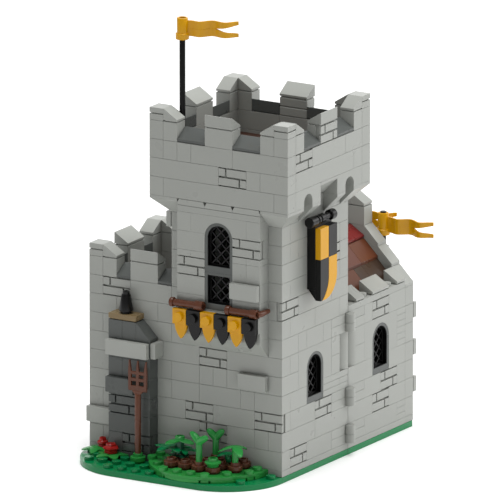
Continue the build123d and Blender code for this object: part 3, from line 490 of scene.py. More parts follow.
def masonry(facing, face, places):
    """Two-stud bricks with two rows of raised panels over a core, at each (start, bottom).

    A slab is (start, end, low, high, near, deep): studs and plates from the brick's left bottom
    corner, and studs behind the wall's face. The core's front is shorter, so joints end in holes.
    """
    slabs = [(0, 0.47, 1.63, 2.85, 0, 0.18), (0.57, 2, 1.63, 2.85, 0, 0.18),
             (0, 1.45, 0.15, 1.37, 0, 0.18), (1.55, 2, 0.15, 1.37, 0, 0.18),
             (0.08, 1.92, 0, 3, 0.16, 0.4), (0, 2, 0, 3, 0.4, 1)]
    spans = []
    for start, bottom in places:
        for left, right, low, high, near, deep in slabs:
            ends = (start + left, start + right)
            if facing in ("rear", "left"):
                ends = (start + 2 - right, start + 2 - left)
            plan = in_wall(facing, face, ends, near, deep)
            spans.append((*plan, bottom + low, bottom + high))
    return spans


front_cuts = {2: (1, 3, 9, 14), 5: (0, 2, 5, 8), 8: (1, 3, 7), 11: (0, 3, 6, 8, 11, 12, 14),
              14: (0, 3, 6, 8, 9, 10, 11, 13), 17: (0, 4, 8), 20: (1, 6, 13), 23: (0, 2, 5, 9, 14),
              26: (3, 6, 9)}
front_rest = {5: (10, 12, 13), 8: (9, 12), 17: (10, 14), 26: (11, 13)}
keep_front_cuts = dict.fromkeys((29, 32, 35, 38), (6, 9))
keep_front_rest = {29: (11, 14), 32: (11, 13), 35: (11, 14), 38: (11, 13)}
front_masonry = [(1, 26), (8, 17), (7, 8), (12, 8), (8, 5)]
front_spans = laid("across", 0, 1, front_cuts, front_rest, keep_front_cuts, keep_front_rest)
front_spans += [(0, 6, 0, 1, 1, 2), (6, 14, 0, 1, 1, 2), (9, 11, 0, 1, 26, 27)]
front_spans += masonry("front", 0, front_masonry)
piece("front_wall_bricks", light_grey, "front_wall", [blocks(front_spans)])

right_cuts = {
    2: (3, 6), 5: (0, 4, 8), 8: (1, 4), 11: (1, 3), 14: (0, 2), 17: (1, 2), 20: (0, 2, 3, 5, 6),
    23: (1, 4, 7), 26: (2, 6, 8), 29: (1, 4, 7), 32: (0, 3, 5), 35: (1, 2, 7), 38: (0, 1, 5, 8),
}
right_masonry = [(0, 26), (4, 8), (1, 2), (5, 32)]
right_spans = laid("along", 13, 14, right_cuts) + masonry("right", 14, right_masonry)
right_spans += [(13, 14, 1, 8, 1, 2), (13, 14, 5, 8, 11, 12), (13, 14, 5, 7, 12, 13),
                (13, 14, 7, 8, 12, 13), (13, 14, 5, 8, 13, 14), (13, 14, 6, 7, 14, 17),
                (13, 14, 6, 7, 17, 20), (13, 14, 7, 8, 32, 35)]


def arch_brick(middle, foot, top, spring, half_length=2, half_width=1, steps=24):
    """Outline of a brick with a round opening below: a half circle on the opening's upright sides.
    Its middle is in metres, its heights in plates, and its half length and half width in studs."""
    reach, radius = half_length * stud, half_width * stud
    low, high = level(foot), level(top)
    opening = arc((middle, level(spring)), radius, 180, 0, steps)
    return np.concatenate([
        [(middle - reach, low), (middle - radius, low)],
        opening,
        [(middle + radius, low), (middle + reach, low), (middle + reach, high),
         (middle - reach, high)],
    ])


window_spring = 16.5        # height at which the arches of the tall windows begin
tower_arch = prisms(arch_brick(along(4), 14, 20, window_spring), "yz", (13, 14))
piece("right_wall_bricks", light_grey, "right_wall", [blocks(right_spans), tower_arch])

# The wing's left wall repeats the bond of the right one.
left_cuts = {2: (0, 2, 6, 8), 5: (1, 4, 7), 8: (0, 4, 6, 8), 11: (1, 3, 5, 7), 14: (1, 4, 7),
             17: (1, 2, 6, 7), 20: (0, 2, 6, 8), 23: (1, 4, 7), 26: (0, 3)}
left_spans = laid("along", 0, 1, left_cuts, {26: (5, 8)})
left_spans += masonry("left", 0, [(3, 26)]) + [(0, 1, 1, 7, 1, 2)]
piece("left_wall_bricks", light_grey, "left_wall", [blocks(left_spans)])

keep_left_cuts = {26: (1, 4, 7), 29: (1, 3, 7), 32: (1, 5, 7), 35: (1, 2, 6, 7), 38: (1, 4, 7)}
piece("keep_left_bricks", light_grey, "tower_left_wall",
      [blocks(laid("along", 6, 7, keep_left_cuts))])

# The back wall is open to the hall below its lintel.
back_cuts = {2: (1, 4, 7), 5: (0, 2, 7), 8: (1, 5, 7), 11: (0, 3, 7), 14: (0, 2, 7), 17: (0, 4, 7),
             20: (1, 3, 7), 23: (0, 4, 8, 12, 14), 26: (1, 5, 9, 13), 29: (6, 10, 14),
             32: (6, 9, 13), 35: (6, 8, 12, 14), 38: (6, 10, 13)}
back_spans = laid("across", 7, 8, back_cuts) + [(0, 7, 7, 8, 1, 2)]
round_radius = 0.0072


def round_corner(front, rear):
    """Plan of a brick of the right wall whose front corner outside is a quarter circle."""
    inner, outer = across(13), across(14)
    corner = arc((outer - round_radius, front + round_radius), round_radius, 270, 360, 12)
    return np.concatenate([[(inner, front)], corner, [(outer, rear), (inner, rear)]])


piece("back_wall_bricks", light_grey, "back_wall",
      [blocks(back_spans), prisms(round_corner(along(7), along(8)), "xy", (14, 20))])

# ---------------------------------------------------------------- decks
# Floors of reddish brown ABS tiles, two studs square, laid on plates inside the walls. Their
# brown is darker than the pots', as painted shade inside the walls. The tower's floor lies two
# storeys above the wing's.

wing_deck, tower_deck = 25, 48.5
deck_tiles = [(column, column + 2, row, row + 2, wing_deck, wing_deck + 1)
              for column in (1, 3, 5) for row in (1, 3, 5)]
deck_tiles += [(column, column + 2, row, row + 2, tower_deck, tower_deck + 1)
               for column in (6, 8, 10, 12) for row in (0, 2, 4, 6)]
# A darker reddish brown: painted shade on the floors inside the walls.
deck_brown_painted_darker = moulded_abs("reddish_brown", "painted_shade_brown", "#3A241B", 0.35, 0.06)
piece("deck_tiles", deck_brown_painted_darker, "decks", [blocks(deck_tiles)])

# ---------------------------------------------------------------- corbels
# A course of inverted slope bricks, 45 degrees, that carries the battlement one stud out. The
# corners are inverted corner slopes. Slots and a recess are left between them.

slope_lip = 0.0015
wing_top, corbel_foot, corbel_top = 29, 41, 44


def flared(feet, tops, foot, top):
    """Bricks that flare from one plan to another at 45 degrees, with an upright lip at the top.

    Each plan is (column, column, row, row), one per brick.
    """
    feet, tops = np.asarray(feet, float), np.asarray(tops, float)
    rings = []
    for plans, height in [(feet, level(foot)), (tops, level(top) - slope_lip), (tops, level(top))]:
        x = across(plans[:, [0, 1, 1, 0]]) + np.array([seam, -seam, -seam, seam])
        y = along(plans[:, [2, 2, 3, 3]]) + np.array([seam, seam, -seam, -seam])
        rings.append(np.stack([x, y, np.full_like(x, height)], axis=2))
    near = np.arange(4)
    after = np.roll(near, -1)
    sides = [np.stack([near, after, after + 4, near + 4], axis=1) + shift for shift in (0, 4)]
    return np.concatenate(rings, axis=1), [*sides, near[None, ::-1], near[None] + 8]


corner_feet = [(6, 7, 0, 1), (13, 14, 0, 1), (6, 7, 7, 8), (13, 14, 7, 8)]
corner_tops = [(5, 7, -1, 1), (13, 15, -1, 1), (5, 7, 7, 9), (13, 15, 7, 9)]
side_feet = [(13, 14, 2, 3), (13, 14, 5, 6), (6, 7, 2, 3), (6, 7, 5, 6), (8, 9, 7, 8),
             (11, 12, 7, 8)]
side_tops = [(13, 15, 2, 3), (13, 15, 5, 6), (5, 7, 2, 3), (5, 7, 5, 6), (8, 9, 7, 9),
             (11, 12, 7, 9)]
behind = [(13, 14, 1, 2), (13, 14, 3, 5), (13, 14, 6, 7), (6, 7, 1, 2), (6, 7, 3, 5), (6, 7, 6, 7),
          (7, 8, 7, 8), (9, 11, 7, 8), (12, 13, 7, 8), (7, 13, 0, 1)]
corbel_parts = [flared(corner_feet + side_feet, corner_tops + side_tops, corbel_foot, corbel_top),
                blocks([(*plan, corbel_foot, corbel_top) for plan in behind])]
piece("corbel_slopes", light_grey, "corbels", corbel_parts)

# ---------------------------------------------------------------- battlement
# Three courses of light bluish grey bricks round the tower, one stud out from its walls. The
# free sides have small arches over the slots, and an inverted slope closes each recess.

battlement_front = {44: (5, 6, 14, 15), 47: (5, 10), 50: (5, 6, 7, 8, 11, 15)}
battlement_back = {44: (5, 6), 47: (5, 9, 15), 50: (5, 9, 12, 15)}
battlement_right = {47: (0, 7, 8), 50: (2, 6, 8)}
battlement_left = {47: (0, 3, 8), 50: (0, 4, 6)}
parapet_spans = laid("across", -1, 0, battlement_front, {47: (12, 13, 15)})
parapet_spans += laid("across", 8, 9, battlement_back) + [(14, 15, 8, 9, 44, 47)]
parapet_spans += laid("along", 14, 15, battlement_right) + laid("along", 5, 6, battlement_left)
parapet_spans += masonry("front", -1, [(10, 47)]) + masonry("right", 15, [(0, 50)])
parapet_spans += masonry("left", 5, [(6, 50)])
inner_ring = [(6, 14, 0, 1), (13, 14, 1, 7), (6, 7, 1, 7), (6, 14, 7, 8)]
parapet_spans += [(*plan, corbel_top, corbel_top + 4) for plan in inner_ring]


def small_arch(middle):
    """Outline of a three-stud brick with a one-stud arch, whose crown is two plates up."""
    crown = corbel_top + 2
    spring = crown - 0.5 * stud / plate
    return arch_brick(middle, corbel_top, corbel_top + 3, spring, 1.5, 0.5, 16)


slot_arches = [prisms(small_arch(along(row)), "yz", span)
               for row in (1.5, 6.5) for span in ((14, 15), (5, 6))]
slot_arches += [prisms(small_arch(across(column)), "xz", (8, 9)) for column in (7.5, 12.5)]


def soffit(wall, edge):
    """Outline of an inverted slope from the wall's foot to the lip at its edge, both in metres."""
    foot, top = level(corbel_top), level(corbel_top + 3)
    return [(wall, foot), (wall, top), (edge, top), (edge, top - slope_lip)]


soffits = [prisms(soffit(across(wall), across(edge)), "xz", (3, 5))
           for wall, edge in ((14, 15), (6, 5))]
soffits.append(prisms(soffit(along(8), along(9)), "yz", (9, 11)))
piece("battlement_bricks", light_grey, "parapet", [blocks(parapet_spans), *slot_arches, *soffits])

# ---------------------------------------------------------------- merlons
# Light bluish grey bricks on the battlement and on the wing's walls: a corner brick at each
# corner, and a two-stud brick in the middle of each side.

merlon_foot = 53
merlon_spans, cap_corners = [], []


def studs_from(edge, way):
    """The first and the second stud one way from an edge, each as a rising span."""
    return sorted((edge, edge + way)), sorted((edge + way, edge + 2 * way))


for column, row, side, back, foot in [
    (5, -1, 1, 1, merlon_foot), (15, -1, -1, 1, merlon_foot), (5, 9, 1, -1, merlon_foot),
    (15, 9, -1, -1, merlon_foot), (0, 0, 1, 1, wing_top), (0, 8, 1, -1, wing_top),
]:
    near_column, far_column = studs_from(column, side)
    near_row, far_row = studs_from(row, back)
    for plan in [(*near_column, *near_row), (*far_column, *near_row), (*near_column, *far_row)]:
        merlon_spans.append((*plan, foot, foot + 3))
    cap_corners.append((near_column, far_column, near_row, far_row, side, back, foot + 3))
for plan, foot in [((9, 11, -1, 0), merlon_foot), ((5, 6, 3, 5), merlon_foot),
                   ((3, 5, 0, 1), wing_top), ((3, 5, 7, 8), wing_top), ((0, 1, 3, 5), wing_top)]:
    merlon_spans.append((*plan, foot, foot + 3))
merlon_spans += masonry("right", 15, [(3, merlon_foot)])
piece("merlon_bricks", light_grey, "merlons", [blocks(merlon_spans)])
# The rear middle one is a palisade brick: two rounded logs, one on the other.
piece("merlon_logs", light_grey, "merlons",
      [blocks([(9, 11, 8, 9, foot, foot + 1.5) for foot in (merlon_foot, merlon_foot + 1.5)])],
      edge=0.0006, segments=3)

# ---------------------------------------------------------------- merlon caps
# Small light bluish grey slopes and, on the corners, a plate and a flat tile. Each has a fine
# groove round its foot, where it meets the brick below.

cap_lip = 0.0016
cap_crest = 0.0004          # flat top of a small slope
groove_depth = 0.0006
groove_height = 0.0005


def cap_slopes(side, low, high, foot, spans):
    """Small slopes, two plates high, that rise across or along from low to high and are carried the
    other way along each span, in studs. Each stands over a foot that is smaller all round, which
    leaves a groove."""
    rising, plane = (across, "xz") if side == "across" else (along, "yz")
    low, high = rising(low), rising(high)
    way = 1 if high > low else -1
    base, rise = level(foot), level(foot + 2)
    slope = [(low, base + groove_height), (high, base + groove_height), (high, rise),
             (high - way * cap_crest, rise), (low, base + cap_lip)]
    inner, outer = low + way * groove_depth, high - way * groove_depth
    step = [(inner, base), (outer, base), (outer, base + groove_height),
            (inner, base + groove_height)]
    inset = groove_depth / stud
    feet = np.reshape(spans, (-1, 2)) + [inset, -inset]
    return [prisms(slope, plane, spans), prisms(step, plane, feet)]


def tiles(spans):
    """Flat tiles: a slab over a foot that is a little smaller all round, which leaves a groove."""
    spans = np.asarray(spans, float)
    inset, rise = groove_depth / stud, groove_height / plate
    slabs, feet = spans.copy(), spans.copy()
    slabs[:, 4] += rise
    feet += np.array([inset, -inset, inset, -inset, 0, 0])
    feet[:, 5] = feet[:, 4] + rise
    return [blocks(slabs), blocks(feet)]


cap_parts, flat_caps, cap_plates = [], [], []
for near_column, far_column, near_row, far_row, side, back, foot in cap_corners:
    cap_plates.append((*near_column, *near_row, foot, foot + 1))
    flat_caps.append((*near_column, *near_row, foot + 1, foot + 2))
    cap_parts += cap_slopes("across", *far_column[::-side], foot, near_row)
    cap_parts += cap_slopes("along", *far_row[::-back], foot, near_column)
tower_caps, wing_caps = merlon_foot + 3, wing_top + 3
for place in [
    ("along", 0, -1, tower_caps, (9, 11)), ("along", 8, 9, tower_caps, (9, 11)),
    ("along", 1, 0, wing_caps, (3, 5)), ("along", 7, 8, wing_caps, (3, 5)),
    ("across", 14, 15, tower_caps, (3, 5)), ("across", 6, 5, tower_caps, (3, 5)),
    ("across", 1, 0, wing_caps, (3, 5)),
]:
    cap_parts += cap_slopes(*place)
piece("merlon_cap_slopes", light_grey, "merlon_caps",
      [*cap_parts, blocks(cap_plates), *tiles(flat_caps)])

# ---------------------------------------------------------------- sills
# Dark bluish grey slopes between the merlons. They fall towards the outside.

dark_grey = moulded_abs("dark_grey", "dark_bluish_grey", "#515452", 0.28, 0.03)
sill_parts = []
for rises, foot, spans in [
    ([("along", -1, 0), ("along", 9, 8)], merlon_foot, [(7, 9), (11, 13)]),
    ([("across", 15, 14), ("across", 5, 6)], merlon_foot, [(1, 3), (5, 7)]),
    ([("along", 0, 1), ("along", 8, 7), ("across", 0, 1)], wing_top, [(2, 3), (5, 6)]),
]:
    for span in spans:
        for rise in rises:
            sill_parts += cap_slopes(*rise, foot, span)
piece("crenel_slopes", dark_grey, "crenel_sills", sill_parts)

# ---------------------------------------------------------------- bay
# A shallow bay of light bluish grey bricks, one stud deep, on inverted slopes. An arch brick
# closes its upper window, and plates on edge carry the pennants below the lower one.

bay_spans = laid("across", -1, 0, {23: (7, 10, 13), 26: (7, 9)}, {26: (11, 13), 29: (7, 9)},
                 {29: (11, 13), 32: (11, 12, 13)})
bay_spans += laid("across", -1, 0, {35: (7, 8, 9)}, {35: (11, 12, 13)}, height=1)
bay_spans += laid("across", -1, 0, {36: (7, 9), 39: (7, 8)}, {39: (12, 13)})
bay_spans += laid("across", -1, 0, {42: (7, 13)}, height=1)
bay_spans += masonry("front", -1, [(7, 32), (11, 36)]) + [(9, 11, -1, 0, 26, 27)]
bay_arch = prisms(arch_brick(across(10), 39, 42, 38.5), "xz", (-1, 0))
pennant_heights = (24.3, 26.8)
bay_feet = [(7, 9, -0.02, 0), (9, 11, -0.02, 0), (11, 13, -0.02, 0)]
bay_tops = [(7, 9, -1, 0), (9, 11, -1, 0), (11, 13, -1, 0)]
bracket_spans = [(column, column + 1, -1.2, -1, *pennant_heights) for column in range(7, 13)]
piece("bay_bricks", light_grey, "bay_wall",
      [blocks(bay_spans), bay_arch, flared(bay_feet, bay_tops, 20, 23), blocks(bracket_spans)])

# ---------------------------------------------------------------- bay trim
# Three flat pieces of light bluish grey ABS fill the joint between bay and battlement. Their
# upper ends are cut at a slant, which leaves a small notch between each two.

trim_slant = 0.001
trim_gap = 0.00012
trim_parts = []
for left in (7, 9, 11):
    start, end = across(left), across(left + 2)
    foot, top = level(43) + trim_gap, level(44) - trim_gap
    shoulder = top - 2 * trim_slant
    trim_outline = [(start, foot), (end, foot), (end, shoulder), (end - trim_slant, top),
                    (start + trim_slant, top), (start, shoulder)]
    trim_parts.append(prisms(trim_outline, "xz", (-1, 0)))
piece("bay_trim_pieces", light_grey, "bay_trim", trim_parts)

# ---------------------------------------------------------------- window frames
# Dark bluish grey ABS frames, two studs wide. The arched ones are eight plates high, and the
# square-headed one below the bay's arch is six.

frame_width = 0.0016
frame_foot = plate
frame_set_back = 0.0002


def frame_outlines(middle, foot, top, arched, margins=((0.0, 0.0), (frame_width, frame_foot))):
    """Two outlines of a frame: upright sides, with a half circle on them if arched. A margin is how
    far an outline lies inside the hole in the wall, at its sides and top and at its foot."""
    outlines = []
    for margin, rise in margins:
        reach, low, high = stud - margin, level(foot) + rise, level(top) - margin
        corners = [(middle - reach, low), (middle + reach, low)]
        if arched:
            head = arc((middle, high - reach), reach, 0, 180, 32)
        else:
            head = np.array([(middle + reach, high), (middle - reach, high)])
        outlines.append(np.concatenate([corners, head]))
    return outlines


def rim(outer, inner, plane, span):
    """A frame with an opening: two outlines carried between the span's ends, joined in pairs."""
    count = len(outer)
    first, second = ["xyz".index(axis) for axis in plane]
    points = np.zeros((1, 4 * count, 3))
    both = np.concatenate([outer, inner])
    points[0, :, first], points[0, :, second] = np.tile(both[:, 0], 2), np.tile(both[:, 1], 2)
    points[0, :, 3 - first - second] = np.repeat(np.sort(span), 2 * count)
    near = np.arange(count)
    after = np.roll(near, -1)
    front = np.stack([near, near + count, after + count, after], axis=1)
    back = front[:, ::-1] + 2 * count
    outside = np.stack([near, after, after + 2 * count, near + 2 * count], axis=1)
    inside = outside[:, ::-1] + count
    faces = [front, back, outside, inside]
    if plane == "xz":
        faces = [face[:, ::-1] for face in faces]
    return points, faces


def seat(facing, face, middle):
    """Place of an opening in a wall that faces one way: the wall's face and the opening's middle in
    metres, the sign of the way inwards, and the opening's plane."""
    inward = 1 if facing in ("front", "left") else -1
    if facing in ("front", "rear"):
        return along(face), across(middle), inward, "xz"
    return across(face), along(middle), inward, "yz"


def frame_at(facing, face, middle, foot, top, arched=True, near=frame_set_back, deep=0.9 * stud,
             **outlines):
    """Frame in a wall, from a near depth to a deep one behind its outer face."""
    face_at, centre, inward, plane = seat(facing, face, middle)
    span = (face_at + inward * near, face_at + inward * deep)
    return rim(*frame_outlines(centre, foot, top, arched, **outlines), plane, span)


tall_heights, bay_heights, square_heights = (11, 19), (33, 41), (27, 33)
piece("arched_window_frames", dark_grey, "arched_frames",
      [frame_at("front", -1, 10, *bay_heights), frame_at("right", 14, 4, *tall_heights)])
piece("square_window_frame", dark_grey, "bay_lower_frame",
      [frame_at("front", -1, 10, *square_heights, False)])

# ---------------------------------------------------------------- window lattices
# Black ABS lattices clipped into the frames: bars at 45 degrees that cross in diamonds, 5.5 mm
# from point to point, in a thin rim. A black lining over the frame's opening is painted shade
# inside the window.

black = moulded_abs("black", "black", "#050505", 0.3, 0.1)
diamond = 0.0055
bar_width = 0.00065
bar_end = 0.0003            # how far a bar runs into the rim
bar_edge = 0.0001
bar_depth = 0.001
pane_set_back = 0.0027


def lattice(facing, face, middle, foot, top, node, arched=True):
    """Bars of one pane, two of which cross at the node's height in the middle. Each line is cut
    where it leaves the opening, found by walking along it in steps of 0.05 mm.

    A point of a line is its start plus its run times (1, 1) or (1, -1) over the root of 2.
    """
    reach, low, high = stud - frame_width, level(foot) + frame_foot, level(top) - frame_width
    spring = high - reach if arched else high
    centre = level(node)
    run = np.linspace(-0.03, 0.03, 1201)
    lines = np.arange(-8, 9) * diamond
    bars = []
    for lean in (1, -1):
        u = run[None] / math.sqrt(2) + 0 * lines[:, None]
        v = centre + lean * run[None] / math.sqrt(2) + lines[:, None]
        under = (u**2 + (v - spring) ** 2 <= reach**2) if arched else v <= high
        head = np.where(v > spring, under, True)
        within = (abs(u) <= reach) & (v >= low) & head
        for line in np.flatnonzero(within.any(axis=1)):
            hits = run[within[line]]
            bars.append((hits[0] - bar_end, hits[-1] + bar_end, lines[line], lean))
    bars = np.array(bars)
    corner_run = bars[:, [0, 1, 1, 0]]
    lean = bars[:, 3:4]
    normal = np.array([-1, -1, 1, 1]) * bar_width / 2
    u = (corner_run - lean * normal) / math.sqrt(2)
    v = centre + (lean * corner_run + normal) / math.sqrt(2) + bars[:, 2:3]
    face_at, middle_at, inward, plane = seat(facing, face, middle)
    depths = np.sort([face_at + inward * pane_set_back,
                      face_at + inward * (pane_set_back + bar_depth)])
    points = np.zeros((len(bars), 8, 3))
    axis = "xyz".index(plane[0])
    points[:, :, axis] = middle_at + np.tile(u, 2)
    points[:, :, 1 - axis] = np.repeat(depths, 4)
    points[:, :, 2] = np.tile(v, 2)
    place = (facing, face, middle, foot, top, arched)
    # A thin black lining covers the frame's opening as painted shade in its depth, and a rim joins
    # the ends of the bars.
    painted_shade_lining = frame_at(*place, 0.0005, 0.0072, margins=((0.00158, 0.00318), (0.00175, 0.00335)))
    pane_rim = frame_at(*place, pane_set_back - 0.0001, pane_set_back + bar_depth + 0.0001,
                        margins=((0.0017, 0.0033), (0.0023, 0.0039)))
    return [(points, [box_sides]), painted_shade_lining, pane_rim]


tall_node = 15.62           # height at which two bars of a tall window cross
front_lattices = [*lattice("front", -1, 10, *bay_heights, 37.62),
                  *lattice("front", -1, 10, *square_heights, 30.15, False),
                  *lattice("right", 14, 4, *tall_heights, tall_node)]
facing_out(piece("front_window_lattices", black, "window_lattices", front_lattices,
                 edge=bar_edge, segments=1))

# ---------------------------------------------------------------- buttress
# A buttress of dark bluish grey bricks against the wing, three studs wide, with a 45 degree slope
# at its top right and one flat tile set on its face.

buttress_cuts = {2: (2, 3), 5: (2, 5), 8: (4, 5), 11: (2, 4, 5), 14: (2, 3, 5), 17: (2, 5),
                 20: (2, 3, 4)}
buttress_spans = laid("across", -1, 0, buttress_cuts) + [(2, 5, -1, 0, 1, 2)]
buttress_spans += masonry("front", -1, [(2, 8), (3, 2)])


def slope_outline(low, high, foot, top):
    """Outline of a slope that rises from low, where only its lip stands, to high."""
    return [(low, level(foot)), (high, level(foot)), (high, level(top)),
            (low, level(foot) + slope_lip)]


buttress_slope = prisms(slope_outline(across(5), across(4), 20, 23), "xz", (-1, 0))


def wall_tiles(facing, face, places):
    """Tiles on edge, 3.2 mm proud: a slab over a foot that is smaller all round. Each place is
    (start, length, bottom of its brick)."""
    spans = []
    for start, length, bottom in places:
        for margin, near, far in [(0, 0.05, 0.4), (0.05, 0, 0.05)]:
            plan = in_wall(facing, face, (start + margin, start + length - margin), -near, -far)
            rise = margin * stud / plate
            spans.append((*plan, bottom + 0.5 + rise, bottom + 3 - rise))
    return blocks(spans)


piece("buttress_bricks", dark_grey, "buttress",
      [blocks(buttress_spans), buttress_slope, wall_tiles("front", -1, [(2, 2, 11)])])

# ---------------------------------------------------------------- shelf and cone
# A dark tan plate lies on the buttress, and a black cone brick stands on it, as a chimney does.

tan = moulded_abs("tan", "dark_tan", "#7A6849", 0.26)
piece("tan_shelf_plate", tan, "buttress_shelf", tiles([(2, 4, -1, 0, 23, 24)]))

cone_profile = [(0, 0), (2.6, 0), (2.6, 0.7), (3.5, 1.2), (3.5, 1.9), (2.3, 9.4), (2.2, 9.6),
                (1.8, 9.6), (1.8, 11.2), (1.3, 11.2), (1.3, 9.8), (0, 9.8)]
piece("black_cone", black, "shelf_cone", [turned(cone_profile, [(3, -0.5, 24)], sides=32)], edge=0)

# ---------------------------------------------------------------- pitchfork
# A moulded reddish brown pitchfork: a 3.2 mm bar for its handle, and a flat head of three pointed
# tines and three cross bars. It stands on a round plate, with its head by the buttress.

fork_column, fork_row = 4.45, -1.5


def fork_part(points, half_depth):
    """Flat part of the fork's head: an outline of (millimetres from the handle, height), as deep as
    twice half_depth, in millimetres."""
    outline = [(across(fork_column) + x / 1000, level(height)) for x, height in points]
    reach = half_depth / 1000 / stud
    return prisms(outline, "xz", (fork_row - reach, fork_row + reach))


fork_parts = []
for shift, lean in [(-4.5, -0.3), (0, 0), (4.5, 0.3)]:
    fork_parts.append(fork_part(
        [(shift - 0.8, 12.6), (shift + 0.8, 12.6), (shift + 0.9, 15.5), (shift + lean + 0.3, 17.35),
         (shift + lean - 0.2, 17.35), (shift - 0.9, 15.5)], 0.7))
for low, high in [(12.45, 13.35), (14, 14.55), (15.1, 15.6)]:
    fork_parts.append(fork_part([(-5.3, low), (5.3, low), (5.3, high), (-5.3, high)], 0.6))
fork_parts.append(fork_part([(-1.4, 11.8), (1.4, 11.8), (3.4, 12.5), (-3.4, 12.5)], 0.7))
handle_profile = [(0, 0), (1.6, 0), (1.6, 31.2), (1.3, 32.2), (0, 32.2)]
fork_parts.append(turned(handle_profile, (fork_column, fork_row, 2)))
piece("fork", brown, "pitchfork", fork_parts, edge=0.0003)

# ---------------------------------------------------------------- rail
# Two reddish brown bars lie along the bay on the pennants. Each has a collar at both ends, and a
# short thin arm turns back from the right one.

to_right = np.array([[0, 0, 1], [1, 0, 0], [0, 1, 0]], float)
rail_row, rail_height = -1.3, 27.56


def log(start, end, first, last):
    """Profile of a bar with a collar at each end: (radius, run) from its left end. The collars'
    lengths first and last are in millimetres."""
    run = (end - start) * stud * 1000
    return [(0, 0), (2.1, 0), (2.4, 0.3), (2.4, first - 0.2), (2.3, first), (1.75, first),
            (1.75, run - last), (2.3, run - last), (2.4, run - last + 0.2), (2.4, run - 0.3),
            (2.1, run), (1.3, run), (1.3, run - 1.2), (0, run - 1.2)]


arm_path = [(13, -1.32, 27.5), (13.1, -1.1, 27.54), (13.2, -0.3, 27.66), (13.2, -0.26, 27.66)]
arm = swept(arm_path, [1.6, 1.6, 1.2, 1])
left_log = turned(log(6.72, 9.1, 2.1, 4.8), (6.72, rail_row, rail_height), to_right)
right_log = turned(log(10.74, 13, 2.4, 3.8), (10.74, rail_row, rail_height), to_right)
piece("rail_logs", brown, "bay_rail", [left_log, right_log, arm], edge=0)

# ---------------------------------------------------------------- pennants
# One-stud plates on edge, yellow and black in turn, held by the bay's side studs. Each has its
# own stud in front and a pointed tooth below.

yellow = moulded_abs("yellow", "warm_yellow", "#CA9305", 0.22, 0.02)
to_front = np.array([[1, 0, 0], [0, 0, -1], [0, 1, 0]], float)


def pennants(columns):
    """Plate, tooth and stud of each pennant. The tooth narrows from cheek to cheek, each its half
    width in millimetres and its height."""
    cheeks = [(3.5, 24.4), (3.45, 23.9), (3, 23.3), (2.1, 22.7), (1, 22.2), (0.1, 21.9)]
    parts = []
    for column in columns:
        middle = across(column + 0.5)
        right = [(middle + x / 1000, level(height)) for x, height in cheeks]
        left = [(middle - x / 1000, level(height)) for x, height in reversed(cheeks)]
        parts += [blocks([(column + 0.01, column + 0.99, -1.6, -1.2, *pennant_heights)]),
                  prisms(right + left, "xz", (-1.4, -1.2)),
                  turned(stud_profile, (column + 0.5, -1.6, 25.55), to_front)]
    return parts


piece("pennants_in_yellow", yellow, "yellow_pennants", pennants([7, 9, 11]))
piece("pennants_in_black", black, "black_pennants", pennants([8, 10, 12]))

# ---------------------------------------------------------------- banner
# A banner of four moulded panels, yellow and black in turn, on a black backing. Its lower edge
# curves to a tip at the left. It hangs from a black rod with a thick end and a round knob.

panel_gap = 0.0001
banner_edge = 0.0002


def bow(start, end, steps):
    """Quarter of an arc that leaves start downwards and bends to end: y and z follow 1 - cosine and
    sine of an angle whose full turn is set by the end's own place."""
    reach, drop = end[0] - start[0], end[1] - start[1]
    radius = (reach**2 + drop**2) / (2 * abs(reach))
    turn = math.asin(min(1.0, abs(drop) / radius))
    angles = np.linspace(0, turn, steps + 1)
    return np.stack([start[0] + math.copysign(1, reach) * radius * (1 - np.cos(angles)),
                     start[1] - radius * np.sin(angles)], axis=1)


left_edge, middle_row, right_edge = along(3), along(4), along(5)
left_side, right_side = middle_row - panel_gap, middle_row + panel_gap
split, bend, tip, banner_top = level(34.5), level(31.6), level(27.9), level(39.5)
inner_bow = bow((left_side, bend), (left_edge + 0.0015, tip), 14)
outer_bow = bow((right_edge, bend), (left_edge + 0.003, tip), 18)
strip_bow = bow((right_side, bend), (left_edge + 0.0017, tip), 14)
black_foot = np.concatenate([[(left_edge, tip), (left_edge, split), (left_side, split)], inner_bow])
yellow_foot = np.concatenate([strip_bow[::-1], [(right_side, split), (right_edge, split)],
                              outer_bow])
upper_left = [(left_edge, split), (left_side, split), (left_side, banner_top),
              (left_edge, banner_top)]
upper_right = [(right_side, split), (right_edge, split), (right_edge, banner_top),
               (right_side, banner_top)]
panel_span = (14.6, 15)
yellow_panels = [prisms(outline, "yz", panel_span) for outline in (upper_left, yellow_foot)]
piece("banner_yellow_panels", yellow, "banner_yellow", yellow_panels, edge=banner_edge)

to_rear = np.array([[0, 1, 0], [0, 0, 1], [1, 0, 0]], float)
rod_profile = [(0, 0), (2.4, 0), (2.7, 0.3), (2.7, 5.8), (2.5, 6), (1.6, 6), (1.6, 7.2), (2.4, 7.2),
               (2.4, 8.8), (1.8, 9), (1.8, 9.8), (2.4, 10), (2.4, 13.2), (2.2, 13.4), (1.6, 13.4),
               (1.6, 19.2), (2.4, 19.2), (2.7, 19.6), (2.7, 23.2), (2.3, 23.6), (1.4, 23.6),
               (1.4, 23), (0, 23)]
backing_spans = [(14, 14.6, 3, 5, 29.5, 40.2)]
backing_heel = [(across(14.1), level(29.5)), (across(14.6), level(27.95)),
                (across(14.6), level(29.5))]
black_parts = [
    blocks(backing_spans), prisms(backing_heel, "xz", (3, 3.175)),
    *[prisms(outline, "yz", panel_span) for outline in (upper_right, black_foot)],
    turned(rod_profile, (14.5, 2.4, 40.6), to_rear),
]
piece("banner_backing_and_rod", black, "banner_backing", black_parts, edge=banner_edge)
